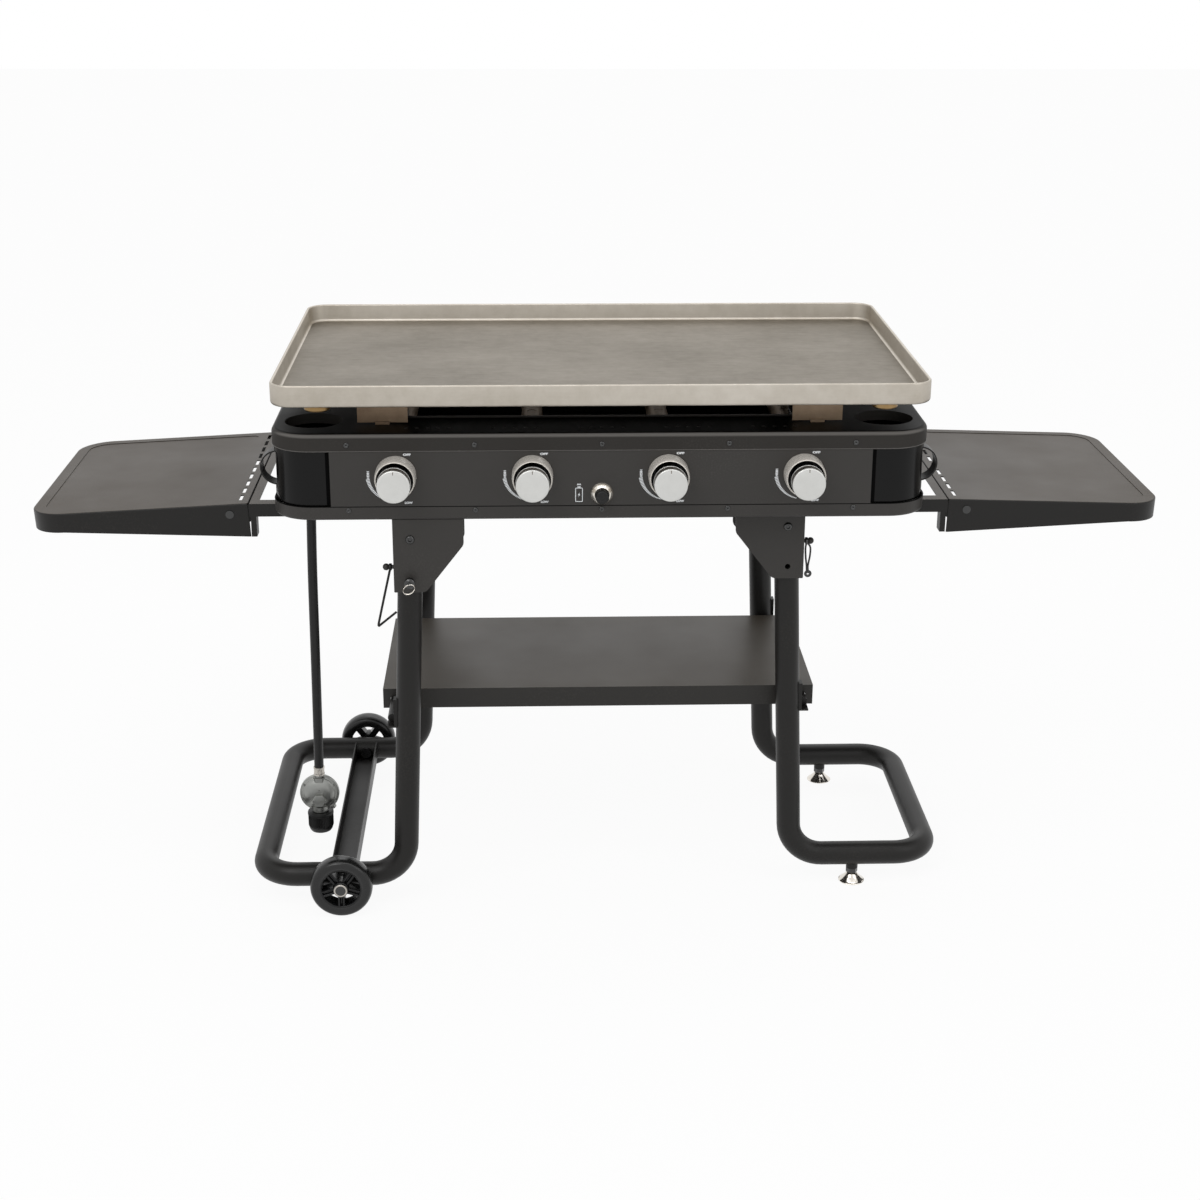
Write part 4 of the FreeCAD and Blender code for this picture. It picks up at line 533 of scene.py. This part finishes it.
def make_knob(number):
    """A silver face on a broad cap with a bright rear rim, and a black neck with its flange.
    Heights are measured out from the panel: base at the flange, rear and reach at the cap."""
    node, body = "knob_%d" % number, "knob_%d_body" % number
    low, high = span(node)
    x, z = middle(node)[[0, 2]]
    centre = (x, FRONT, z)
    base, reach, radius = FRONT - high[1], FRONT - low[1], (high[0] - low[0]) / 2
    rear = reach - KNOB_CAP
    face = [(0, reach), (radius * 0.6, reach - 0.02), (radius - 1.9, reach - 0.12),
            (radius - 1.0, reach - 0.35), (radius - 0.35, reach - 0.95), (radius, reach - 1.9),
            (radius, reach - 2.8), (radius - 0.5, reach - 3.2)]
    pointer = [(0, reach + 0.12), (0.5, reach + 0.12), (0.7, reach - 0.1)]
    rim = smooth_profile([(radius - 2.5, rear - 0.6), (radius - 0.4, rear - 0.4),
                          (radius, rear + 0.3), (radius, rear + 1.1),
                          (radius - 0.4, rear + 1.6)], 4)
    piece("knob_face_%d" % number, [
        turned(face, centre, TOWARDS_FRONT, 96),
        turned(rim, centre, TOWARDS_FRONT, 96),
    ], MATERIALS["knob_silver"], body, node, 50)
    piece("knob_pointer_%d" % number, [
        turned(pointer, (x, FRONT, z + radius - 2.2 - 1.1 * step), TOWARDS_FRONT, 16)
        for step in range(4)
    ], MATERIALS["knob_side"], body, node, 50)
    side = [(radius - 0.7, rear + 1.2)]
    side += [(radius - 0.45, rear + 1.8 + t * (reach - rear - 5.2)) for t in np.linspace(0, 1, 7)]
    side += [(radius - 0.8, reach - 3.0)]
    piece("knob_side_%d" % number, [
        turned(side, centre, TOWARDS_FRONT, 4 * KNOB_FLUTES, KNOB_FLUTES, 0.35,
               (rear + 1.85, reach - 3.7)),
    ], MATERIALS["knob_side"], body, node, 30)
    neck = [(17.0, base), (21.4, base), (22.0, base + 0.6), (22.0, base + 3.4),
            (21.4, base + 4.0), (19.6, base + 4.2), (19.2, base + 6.0), (19.2, rear - 1.5),
            (20.5, rear - 0.6), (radius - 2.4, rear - 0.5)]
    piece("knob_neck_%d" % number, [turned(neck, centre, TOWARDS_FRONT, 80)],
          MATERIALS["black_plastic"], body, node, 30)


def make_bezels():
    """Deep bright rings with a rounded crown and a dark floor inside."""
    rise = FRONT - span("knob_bezels")[0][1]
    for number in KNOBS:
        x, z = middle("knob_%d" % number)[[0, 2]]
        ring = smooth_profile([(28.8, 0), (28.8, 12.0), (28.6, 18.0), (28.2, 23.0),
                               (27.6, rise - 2.0), (26.9, rise - 0.5), (26.3, rise),
                               (25.8, rise - 0.5), (25.5, rise - 2.0), (25.4, rise - 6.0),
                               (25.4, 1.2)], 4)
        piece("knob_ring_%d" % number, [turned(ring, (x, FRONT, z), TOWARDS_FRONT, 96)],
              MATERIALS["satin_chrome"], BODY, "knob_bezels", 60)
        floor = [(25.5, 1.4), (17.2, 1.2), (17.0, 0.05)]
        piece("ring_floor_%d" % number, [turned(floor, (x, FRONT, z), TOWARDS_FRONT, 64)],
              MATERIALS["black_plastic"], BODY, "knob_bezels")


def make_igniter():
    """A bright stepped ring and the black button in it, dished at its front."""
    low, high = span("igniter_bezel")
    x, z = middle("igniter_bezel")[[0, 2]]
    radius = (high[0] - low[0]) / 2
    ring = smooth_profile([
        (radius, 0), (radius, 0.9), (radius - 0.3, 1.9), (radius - 1.2, 3.3),
        (radius - 2.5, 4.9), (radius - 3.9, 6.4), (radius - 5.0, 7.5), (radius - 5.7, 8.1),
        (radius - 6.2, 8.0), (radius - 6.5, 7.2), (radius - 6.6, 3.5)], 4)
    piece("igniter_ring", [turned(ring, (x, FRONT, z), TOWARDS_FRONT, 72)],
          MATERIALS["chrome"], BODY, "igniter_bezel", 60)
    low, high = span("igniter_button")
    radius, reach = (high[0] - low[0]) / 2, FRONT - low[1]
    dome = smooth_profile([(radius, FRONT - high[1]), (radius, reach - 3.4),
                           (radius - 0.4, reach - 1.5), (radius - 1.6, reach - 0.3),
                           (radius - 3.2, reach - 0.1), (radius - 5.4, reach - 0.7),
                           (0, reach - 0.9)], 4)
    piece("push_button", [turned(dome, (x, FRONT, z), TOWARDS_FRONT, 64)],
          MATERIALS["black_plastic"], "igniter_push_button", "igniter_button",
          50)


def lettering(name, words, x, z, width, height, turn=0.0):
    """Printed letters on the panel, as a thin raised film drawn out to a width and a height."""
    curve = bpy.data.curves.new(name, "FONT")
    curve.body = words
    curve.size = height * MM
    curve.align_x = "CENTER"
    curve.align_y = "CENTER"
    curve.offset = 0.06 * height * MM
    curve.extrude = 0.05 * MM
    obj = new_object(name, curve)
    bpy.context.view_layer.update()
    mesh = bpy.data.meshes.new_from_object(obj)
    bpy.data.objects.remove(obj)
    spots = np.empty(len(mesh.vertices) * 3)
    mesh.vertices.foreach_get("co", spots)
    spots = spots.reshape(-1, 3)
    low, high = spots.min(0), spots.max(0)
    stretch = np.array([width, height]) * MM / (high - low)[:2]
    place = (Matrix.Translation((x * MM, (FRONT - 0.06) * MM, z * MM))
             @ Matrix.Rotation(math.radians(90), 4, "X") @ Matrix.Rotation(turn, 4, "Z")
             @ Matrix.Diagonal((*stretch, 1, 1))
             @ Matrix.Translation((*(-(low + high)[:2] / 2), 0)))
    mesh.transform(place)
    mesh.materials.clear()
    mesh.materials.append(MATERIALS["print_white"])
    printed = new_object(name, mesh)
    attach(printed, BODY)


def on_panel(outline, proud):
    """A ring of points over the panel from (x, z) points, this far in front of it."""
    outline = np.asarray(outline, float)
    return np.column_stack([outline[:, 0], np.full(len(outline), FRONT - proud), outline[:, 1]])


def flat_shape(outline):
    """A thin printed shape that stands proud of the panel, from (x, z) points."""
    rings = [on_panel(outline, proud) for proud in (0, PRINT_FILM)]
    return grid(np.array(rings) * MM, close_columns=True, cap_first=True, cap_last=True)


def make_dial_marks(number):
    """OFF, HIGH and LOW round a knob, with a fan of marks that get shorter towards LOW."""
    x, z = middle("knob_%d" % number)[[0, 2]]
    lettering("mark_off_%d" % number, "OFF", x + 16.3, z + 30.5, 11.0, 3.3)
    lettering("mark_low_%d" % number, "LOW", x + 17.0, z - 39.1, 11.0, 3.3)
    lettering("mark_high_%d" % number, "HIGH", x - 38.4, z + 1.5, 11.0, 3.6, -math.pi / 2)
    parts = []
    first, turn, width = math.radians(187), math.radians(66), math.radians(2.1)
    for share in np.linspace(0, 1, 22):
        start = first + share * turn
        inner, outer = 36.6, 38.0 + 3.8 * (1 - share)
        corners = [(inner, start), (outer, start), (outer, start + width), (inner, start + width)]
        parts.append(flat_shape([(x + r * math.cos(a), z + r * math.sin(a)) for r, a in corners]))
    piece("mark_fan_%d" % number, parts, MATERIALS["print_white"], BODY)


def make_battery_mark():
    """A battery outline with a cap and a bolt in it, and two small letters above it."""
    x, z = middle("igniter_button")[[0, 2]] - (32.1, 1.6)
    outer = rounded_loop(5.3, 10.3, 1.6, 4) + (x, z)
    inner = rounded_loop(4.3, 9.3, 0.9, 4) + (x, z)
    rings = [on_panel(loop, proud) for loop, proud in
             ((outer, 0), (inner, 0), (inner, PRINT_FILM), (outer, PRINT_FILM))]
    bolt = [(0.9, 3.4), (-1.7, -0.5), (-0.2, -0.5), (-0.9, -3.4), (1.7, 0.6), (0.2, 0.6)]
    cap = [(-2.2, 10.6), (2.2, 10.6), (2.2, 12.1), (-2.2, 12.1)]
    parts = [grid(np.array(rings) * MM, close_rows=True, close_columns=True),
             flat_shape(np.add(bolt, (x, z))), flat_shape(np.add(cap, (x, z)))]
    piece("battery_mark", parts, MATERIALS["print_white"], BODY)
    lettering("battery_letters", "AA", x, z + 15.2, 6.4, 2.6)


def deck_path(inset, height):
    """The deck's outline drawn in by an inset, as a level path at a height."""
    low, high = span("top_deck")
    half_w, half_d = (high - low)[:2] / 2 - inset
    loop = rounded_loop(half_w, half_d, DECK_CORNER, 14) + [0, middle("top_deck")[1]]
    return np.column_stack([loop, np.full(len(loop), height)])


def make_deck_lines():
    """The hem bead along the deck's lower edge and the rim bead round the burner opening, both
    light grey as a painted highlight; the opening's cross shape takes each corner from the wide
    and the deep rectangle in turn."""
    low, high = span("top_deck")
    hem = 0.7
    piece("deck_hem", [closed_bead(deck_path(0, low[2] + hem), hem)], MATERIALS["edge_highlight_steel"],
          BODY)
    steps = 5
    wide = rounded_loop(FIRE_WIDE_W, FIRE_WIDE_D, FIRE_CORNER, steps)
    deep = rounded_loop(FIRE_W, FIRE_D, FIRE_CORNER, steps)
    outline = []
    for quarter, (sx, sy) in enumerate(QUARTERS):
        corner = slice(quarter * steps, quarter * steps + steps)
        run = [list(wide[corner]), [np.array([sx * FIRE_W, sy * FIRE_WIDE_D])], list(deep[corner])]
        for points in run[::-1] if quarter % 2 else run:
            outline += points
    path = np.column_stack([np.array(outline) + [0, middle("top_deck")[1]],
                            np.full(len(outline), high[2])])
    piece("burner_rim", [closed_bead(path, hem)], MATERIALS["edge_highlight_steel"], BODY)


def make_seams():
    """Painted shade in the body's gaps: a black bead where the panel meets the pan, and a black
    strip between the panel's ends and the two wells, standing in for the shadow there."""
    pan_top = span("bottom_pan")[1][2]
    piece("pan_joint", [closed_bead(deck_path(0.4, pan_top + 0.1), 0.75)],
          MATERIALS["painted_shade_black"], BODY)
    bottom, top = pan_top + 0.2, span("top_deck")[0][2] + 1.0
    panel_end = span("control_panel")[1][0]
    for side, label in SIDES:
        inner, outer = (panel_end - 0.5) * side, (panel_end + 6.0) * side
        corners = [(inner, bottom), (outer, bottom), (outer, top), (inner, top)]
        front = span("corner_pod_" + label)[0][1] - 0.15
        rings = [[(a, y, b) for a, b in corners] for y in (front + 0.2, front)]
        piece(label + "_panel_gap", [
            grid(np.array(rings) * MM, close_columns=True, cap_first=True, cap_last=True),
        ], MATERIALS["painted_shade_black"], BODY)


def make_screws():
    """Two rows of five pan heads, each a turned dome with a star pressed into it."""
    low, high = span("panel_screws")
    inset = 3.2
    head = smooth_profile([(4.0, 0), (3.8, 0.9), (2.9, 1.5), (1.6, 1.7)], 3)
    recess = [(1.6, 1.7), (1.3, 1.3), (0.5, 0.4), (0, 0.3)]
    parts = []
    for z in (low[2] + inset, high[2] - inset):
        for x in np.linspace(low[0] + inset, high[0] - inset, 5):
            parts.append(turned(head, (x, FRONT, z), TOWARDS_FRONT, 24))
            parts.append(turned(recess, (x, FRONT, z), TOWARDS_FRONT, 24, 8, 0.7, (0.35, 1.5)))
    piece("front_screws", parts, MATERIALS["black_screw"], BODY, "panel_screws")


def wire_ring(centre, across, along, radius, wire):
    """A closed ring of wire in the plane of two unit vectors: a circle of the wire's radius,
    carried round a circle of the ring's."""
    across, along = np.asarray(across, float), np.asarray(along, float)
    turn = np.linspace(0, 2 * np.pi, 40, endpoint=False)[:, None, None]
    spin = np.linspace(0, 2 * np.pi, 12, endpoint=False)[None, :, None]
    outward = np.cos(turn) * across + np.sin(turn) * along
    upright = np.cross(across, along)
    points = centre + radius * outward + wire * (np.cos(spin) * outward + np.sin(spin) * upright)
    return grid(points * MM, close_rows=True, close_columns=True)


def make_lock_pins():
    """Plunger barrels with a ribbed grip and a bright split ring, two turns of wire side by
    side, that hangs tilted from the end."""
    for side, label in SIDES:
        node = "lock_pin_" + label
        low, high = span(node)
        x, z = middle(node)[[0, 2]]
        facing, near, far = faces_in_depth(node)
        shank, grip = 3.9, (high[0] - low[0]) / 2
        start = far - 10.5
        barrel = [(0, near), (shank, near), (shank, start), (grip, start), (grip, start + 0.8)]
        barrel += [(grip, start + 1.2 + t * 4) for t in np.linspace(0, 1, 4)]
        barrel += [(grip, start + 6.2), (grip * 0.8, start + 7.6), (grip * 0.45, start + 8.4),
                   (grip * 0.4, far - 0.4), (grip * 0.3, far), (0, far)]
        piece(label + "_pin_barrel", [
            turned(barrel, (x, 0, z), (0, facing, 0), 96, 48, 0.35, (start + 1, start + 5.5)),
        ], MATERIALS["black_screw"], label + "_pull_pin", node, 40)
        tilt = math.radians(12 if side < 0 else -16)
        across = (math.cos(tilt), 0, math.sin(tilt))
        hang = -np.cross(across, (0, 0.57, -0.82))
        parts = []
        for level in (-0.45, 0.45):
            centre = np.array([x + 0.4 * side, facing * (far + 6.0), z - 4.4]) + level * hang
            parts.append(wire_ring(centre, across, (0, 0.82 * facing, -0.57), 8.2, 0.5))
        piece(label + "_split_ring", parts, MATERIALS["chrome"], label + "_pull_pin", node,
              60)


def wire_eye(pivot):
    """The rolled eye that a keeper hangs by on its stud, with the stud's axis along X."""
    section = [(3.1, -2.0), (4.6, -2.0), (5.1, -1.2), (5.1, 1.2), (4.6, 2.0), (3.1, 2.0),
               (3.1, -2.0)]
    return turned(section, pivot, (1, 0, 0), 32)


def bent_wire(pivot, places, radius):
    """A wire on a smooth curve through (x, z) places measured from the pivot, in its plane."""
    places = smooth_profile(places, 5)
    path = np.column_stack([places[:, 0], np.zeros(len(places)), places[:, 1]])
    return pipe(path + pivot, radius)


def make_keepers():
    """The left bail, a long V of wire, and the right latch, two wires down to a holed tab."""
    pivot = PIVOTS["left_bail_swing"]
    v_shape = [(-0.9, -4.6), (-10, -44), (-18.8, -82.6), (-19.6, -86.6), (-19.9, -88.9),
               (-19.2, -89.8), (-17.6, -88.6), (-14.2, -85.8), (6.5, -68.8)]
    piece("bail_wire", [wire_eye(pivot), bent_wire(pivot, v_shape, 1.7)],
          MATERIALS["black_steel"], "left_bail", "wire_bail_left", 40)
    pivot = PIVOTS["right_latch_swing"]
    outer = [(1.6, -4.2), (4.6, -6.8), (6.6, -12), (6.2, -24), (4.0, -38), (4.4, -46), (5.4, -50)]
    inner = [(0.2, -4.6), (-0.6, -12), (0.2, -26), (1.8, -38), (2.2, -46), (2.6, -50)]
    tab = [(1.7, -0.9), (4.9, -0.9), (5.6, 0), (4.9, 0.9), (1.7, 0.9), (1.7, -0.9)]
    piece("latch_wire", [
        wire_eye(pivot), bent_wire(pivot, outer, 1.4), bent_wire(pivot, inner, 1.4),
        turned(tab, pivot + (4.2, 0, -51.0), TOWARDS_FRONT, 32),
    ], MATERIALS["black_screw"], "right_latch", "wire_latch_right", 40)


def make_feet():
    """Levelling feet: a chrome cone with a rolled rim, and the plain stem above it."""
    for name in ("front_foot", "rear_foot"):
        low, high = span(name)
        x, y = middle(name)[:2]
        top = high[2] - low[2]
        cone = smooth_profile([(17.0, 0), (19.4, 0.1), (20.0, 0.9), (19.4, 1.8), (18.0, 2.6),
                               (14.6, 5.6), (11.2, 9.0), (8.8, 12.0), (7.6, 13.0), (6.2, 13.4)], 4)
        profile = np.vstack([[(0, 0)], cone, [(4.9, 13.4), (4.9, top), (0, top)]])
        piece(name + "_pad", [turned(profile, (x, y, low[2]), (0, 0, 1), 64)],
              MATERIALS["chrome"], name.replace("_", "_level_"), name, 50)


def make_pivot_bolts():
    """Button heads with a hexagon socket outside the brackets, and nuts inside."""
    head = smooth_profile([(2.7, 3.1), (4.2, 2.9), (5.6, 1.9), (6.3, 0.6), (6.4, 0)], 4)
    socket = [(0, 1.0), (2.5, 1.0), (2.8, 3.1)]
    nut = [(0, 7.0), (5.4, 7.0), (6.9, 6.4), (6.9, 0.3), (0, 0)]
    heads, nuts = [], []
    for _, label in SIDES:
        x, _, z = PIVOTS[label + "_leg_fold"]
        for depth in ("front", "back"):
            facing, inner, outer = faces_in_depth("%s_%s_bracket" % (label, depth))
            outside, inside = (x, outer * facing, z), (x, inner * facing, z)
            heads.append(turned(head, outside, (0, facing, 0), 40))
            heads.append(turned(socket, outside, (0, facing, 0), 6))
            nuts.append(turned(nut, inside, (0, -facing, 0), 6))
    piece("pivot_bolt_heads", heads, MATERIALS["black_screw"], BODY, "pivot_bolts",
          40)
    piece("pivot_bolt_nuts", nuts, MATERIALS["zinc"], BODY, "pivot_bolts", 30)


def make_tyre(name):
    """A hard rubber tyre, whose tread and shoulders are half of a squarish oval: powers of
    the cosine and the sine of an angle that runs from the inner face to the outer."""
    node = name + "_tyre"
    low, high = span(node)
    side, near, far = faces_in_depth(node)
    x, z = middle(node)[[0, 2]]
    radius, half, shoulder = (high[2] - low[2]) / 2, (far - near) / 2, 9.0
    a = np.linspace(-np.pi / 2, np.pi / 2, 15)
    oval = np.column_stack([
        radius - shoulder + shoulder * np.abs(np.cos(a)) ** 0.75,
        near + half + half * np.sign(a) * np.abs(np.sin(a)) ** 0.8,
    ])
    profile = np.vstack([(TYRE_SEAT, near + 2), oval, (33.5, far - 0.4), (TYRE_SEAT, far - 2)])
    piece(name + "_tread", [turned(profile, (x, 0, z), (0, side, 0), 96)], MATERIALS["tyre"],
          name + "_wheel_set", node, 50)


def make_wheel(name):
    """A moulded wheel: stepped rim, hub cup and five pairs of ribs with a groove between."""
    node = name + "_wheel"
    side, near, far = faces_in_depth(node)
    x, z = middle(node)[[0, 2]]
    rim = [(TYRE_SEAT, near + 2), (28.2, near + 2), (28.2, far - 4), (28.8, far - 3),
           (29.4, far - 2.4), (TYRE_SEAT, far - 2)]
    hub = [(6.1, near), (11.4, near), (12.0, near + 1), (12.0, far - 3), (11.6, far - 1.2),
           (10.6, far - 0.2), (9.5, far - 0.1), (8.6, far - 1.0), (6.1, far - 1.4)]
    axis = (0, side, 0)
    parts = [turned(rim, (x, 0, z), axis, 80), turned(hub, (x, 0, z), axis, 48)]
    top = far - 3.4
    section = smooth_profile([(-5.2, near + 7), (-5.0, top - 1.6), (-4.2, top - 0.3),
                              (-3.0, top), (-1.9, top - 0.9), (-1.3, top - 3.6), (0, top - 4.2),
                              (1.3, top - 3.6), (1.9, top - 0.9), (3.0, top), (4.2, top - 0.3),
                              (5.0, top - 1.6), (5.2, near + 7)], 3)
    for i in range(5):
        angle = math.radians(-90 + 72 * i)
        along = np.array([math.cos(angle), 0, math.sin(angle)])
        across = np.array([-math.sin(angle), 0, math.cos(angle)])
        rings = []
        for r in np.linspace(10.5, 28.6, 5):
            rings.append(np.array([x, 0, z]) + r * along + section[:, :1] * across
                         + section[:, 1:] * np.array([0, side, 0]))
        parts.append(grid(np.array(rings) * MM, close_columns=True, cap_first=True,
                          cap_last=True))
    piece(name + "_spokes", parts, MATERIALS["wheel_plastic"], name + "_wheel_set",
          node)


def make_axle_ends():
    """Plated axle ends: a ring that stands clear of the hub, with a dark dished middle."""
    low, high = span("wheel_bolts")
    x, z = middle("front_wheel")[[0, 2]]
    for side, label in zip((-1, 1), WHEELS):
        reach = -low[1] if side < 0 else high[1]
        clear = faces_in_depth(label + "_wheel")[2] + 0.15
        ring = smooth_profile([(6.4, clear), (9.9, clear), (10.5, clear + 0.5),
                               (9.8, reach - 0.3), (8.2, reach), (6.9, reach - 0.6),
                               (6.3, reach - 1.2)], 4)
        piece(label + "_axle_ring", [turned(ring, (x, 0, z), (0, side, 0), 48)],
              MATERIALS["nickel"], "left_legs", sharp=60)
        cup = [(6.5, reach - 1.2), (5.0, reach - 1.9), (2.6, reach - 1.5), (0, reach - 1.2)]
        piece(label + "_axle_cup", [turned(cup, (x, 0, z), (0, side, 0), 32)],
              MATERIALS["black_screw"], "left_legs", sharp=60)


def make_regulator():
    """A zinc housing: flanged disc, stepped bonnet with a boss, a vent ear and both necks."""
    x, y = middle("regulator")[:2]
    neck_top = 30.5
    z = span("regulator")[1][2] - neck_top
    back = smooth_profile([(0, -17), (14, -17), (18.2, -16), (22, -9), (26, -3.6),
                           (29.6, -2.9)], 4)
    flange = [(30.5, -2.2), (30.5, 2.2), (29.9, 2.8)]
    bonnet = smooth_profile([(27.0, 2.9), (25.9, 3.4), (25.2, 4.6), (23.0, 5.4), (20.5, 6.9),
                             (17.0, 8.6), (12.0, 9.8), (6.0, 10.3), (0, 10.4)], 4)
    parts = [turned(np.vstack([back, flange, bonnet]), (x, y, z), TOWARDS_FRONT, 80)]
    head, bolt_circle = [(0, 4.6), (1.5, 4.6), (1.9, 4.0), (1.9, 2.5)], 27.6
    for i in range(6):
        angle = math.radians(30 + 60 * i)
        spot = (x + bolt_circle * math.cos(angle), y, z + bolt_circle * math.sin(angle))
        parts.append(turned(head, spot, TOWARDS_FRONT, 12))
    boss = smooth_profile([(12.4, 4.0), (11.8, 8.0), (11.2, 13.6), (10.4, 15.4), (9.0, 15.9),
                           (0, 16.2)], 4)
    parts.append(turned(boss, (x, y, z - 8.5), TOWARDS_FRONT, 6))
    screw = [(0, 11.6), (1.6, 11.6), (2.2, 11.0), (2.3, 9.8)]
    parts.append(turned(screw, (x, y, z + 5.5), TOWARDS_FRONT, 16))
    ear = [(0, 0), (4.2, 0), (4.2, 6), (3.4, 7.2), (0, 7.2)]
    parts.append(turned(ear, (x + 17.5, y + 2, z - 21.5), (0.63, 0, -0.77), 20))
    neck = [(0, 20), (10.5, 20), (10.5, 27), (8.4, 28.2), (8.4, neck_top), (0, neck_top)]
    parts.append(turned(neck, (x, y, z), (0, 0, 1), 6))
    spigot = [(9, 20), (12.5, 22), (12.5, 30), (9, 31), (9, 57), (0, 57)]
    parts.append(turned(spigot, (x, y, z), (0, 0, -1), 40))
    return piece("gas_regulator", parts, MATERIALS["zinc"], BODY, "regulator", 40)


def make_ferrule():
    """A crimped sleeve: twelve pressed grooves between two plain collars."""
    low, high = span("hose_ferrule")
    x, y = middle("hose_ferrule")[:2]
    length = high[2] - low[2]
    radii = [(7.4, 0.2), (8.5, 0.5), (8.5, 3.0), (8.1, 3.4), (8.1, 6), (8.0, 9.5), (8.1, 13),
             (8.1, length - 3.4), (8.5, length - 3.0), (8.5, length - 0.6), (7.4, length - 0.2)]
    return piece("crimp_sleeve", [
        turned(radii, (x, y, low[2]), (0, 0, 1), 96, 12, 0.45, (3.2, length - 3.2)),
    ], MATERIALS["nickel"], BODY, "hose_ferrule", 40)


def make_hand_nut():
    """The black hand nut: a ribbed barrel, a plain collar above and a tapered open mouth."""
    low, high = span("connector_nut")
    x, y = middle("connector_nut")[:2]
    length = high[2] - low[2]
    barrel = [(9.2, 0), (18.6, 0), (19.7, 0.7), (20.0, 1.8), (20.0, 4.6), (19.6, 5.2)]
    barrel += [(19.6, 5.3 + t * (length - 15)) for t in np.linspace(0, 1, 8)]
    barrel += [(19.3, length - 8), (17.6, length - 2.6), (15.8, length), (14.4, length),
               (14.4, length / 2), (9.2, length / 2), (9.2, 0)]
    return piece("hand_nut_barrel", [
        turned(barrel, (x, y, high[2]), (0, 0, -1), 192, 48, 0.9, (5.25, length - 9.6)),
    ], MATERIALS["black_plastic"], "hand_nut", "connector_nut", 30)


def make_hose():
    """The hose hangs on one smooth curve from its inlet to the regulator."""
    curve = bpy.data.curves.new("hanging_hose", "CURVE")
    curve.dimensions = "3D"
    curve.bevel_depth = HOSE_R
    curve.bevel_resolution = 6
    curve.resolution_u = 24
    curve.use_fill_caps = True
    spline = curve.splines.new("NURBS")
    spline.points.add(len(HOSE_ROUTE) - 1)
    for point, place in zip(spline.points, HOSE_ROUTE):
        point.co = (*place, 1)
    spline.order_u = 3
    spline.use_endpoint_u = True
    curve.materials.append(MATERIALS["hose_rubber"])
    hose = new_object("hanging_hose", curve)
    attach(hose, BODY)
    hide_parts("gas_hose")
    make_ferrule()
    make_regulator()
    make_hand_nut()


def make_camera():
    """The photograph's viewpoint: yaw, pitch and roll about the fitted place."""
    camera = bpy.data.cameras.new("camera")
    camera.lens = LENS
    camera.sensor_width = SENSOR
    camera.clip_end = 50
    obj = new_object("camera", camera)
    ahead = Vector((math.sin(CAMERA_YAW) * math.cos(CAMERA_PITCH),
                    math.cos(CAMERA_YAW) * math.cos(CAMERA_PITCH), -math.sin(CAMERA_PITCH)))
    right = Vector((math.cos(CAMERA_YAW), -math.sin(CAMERA_YAW), 0))
    up = right.cross(ahead)
    c, s = math.cos(CAMERA_ROLL), math.sin(CAMERA_ROLL)
    turned_right, turned_up = right * c + up * s, up * c - right * s
    obj.matrix_world = Matrix((
        (turned_right.x, turned_up.x, -ahead.x, CAMERA_AT[0]),
        (turned_right.y, turned_up.y, -ahead.y, CAMERA_AT[1]),
        (turned_right.z, turned_up.z, -ahead.z, CAMERA_AT[2]),
        (0, 0, 0, 1)))
    bpy.context.scene.camera = obj


def area_light(name, at, towards, size, power):
    """A white rectangular lamp at a place, turned to face another."""
    light = bpy.data.lights.new(name, "AREA")
    light.shape = "RECTANGLE"
    light.size, light.size_y = size
    light.energy = power
    obj = new_object(name, light)
    obj.location = at
    obj.rotation_euler = (Vector(towards) - Vector(at)).to_track_quat("-Z", "Y").to_euler()


def camera_white(tree, lit, seen_white):
    """Mixes a lit shader with plain white light for what camera, mirrors and glass see."""
    path = add(tree, "ShaderNodeLightPath")
    seen = math_node(tree, "MAXIMUM", path.outputs["Is Camera Ray"],
                     math_node(tree, "MAXIMUM", path.outputs["Is Glossy Ray"],
                               path.outputs["Is Transmission Ray"]))
    share = math_node(tree, "MULTIPLY", seen, seen_white)
    white = add(tree, "ShaderNodeEmission", {"Color": (1, 1, 1, 1), "Strength": 1.0})
    mix = add(tree, "ShaderNodeMixShader", {0: share})
    tree.links.new(lit, mix.inputs[1])
    tree.links.new(white.outputs[0], mix.inputs[2])
    return mix.outputs[0]


def make_stage():
    """A pale floor that keeps the shadow, a white surround and soft studio lamps."""
    floor_material, tree, shader = new_material("pale_floor")
    shader.inputs["Base Color"].default_value = (0.9, 0.9, 0.9, 1)
    shader.inputs["Roughness"].default_value = 0.8
    shader.inputs["Specular IOR Level"].default_value = 0.1
    surface = camera_white(tree, shader.outputs[0], 0.93)
    tree.links.new(surface, tree.nodes["Material Output"].inputs["Surface"])
    mesh = bpy.data.meshes.new("floor")
    reach = 14.0
    corners = [(-reach, -reach, 0), (reach, -reach, 0), (reach, reach, 0), (-reach, reach, 0)]
    mesh.from_pydata(corners, [], [(0, 1, 2, 3)])
    mesh.materials.append(floor_material)
    new_object("floor", mesh)
    world = bpy.data.worlds.new("studio")
    world.use_nodes = True
    bpy.context.scene.world = world
    tree = world.node_tree
    soft = tree.nodes["Background"]
    soft.inputs["Color"].default_value = (1, 1, 1, 1)
    soft.inputs["Strength"].default_value = 0.7
    surface = camera_white(tree, soft.outputs[0], 1.0)
    tree.links.new(surface, tree.nodes["World Output"].inputs["Surface"])
    for name, (at, towards, size, power) in LAMPS.items():
        area_light(name, at, towards, size, power)


make_camera()
make_hose()
make_stage()
make_plate()
make_bezels()
make_igniter()
for knob_number in KNOBS:
    make_knob(knob_number)
    make_dial_marks(knob_number)
make_battery_mark()
make_deck_lines()
make_seams()
make_screws()
for wheel_name in WHEELS:
    make_tyre(wheel_name)
    make_wheel(wheel_name)
make_axle_ends()
make_lock_pins()
make_keepers()
make_feet()
make_pivot_bolts()
bpy.context.scene.view_settings.view_transform = "Standard"
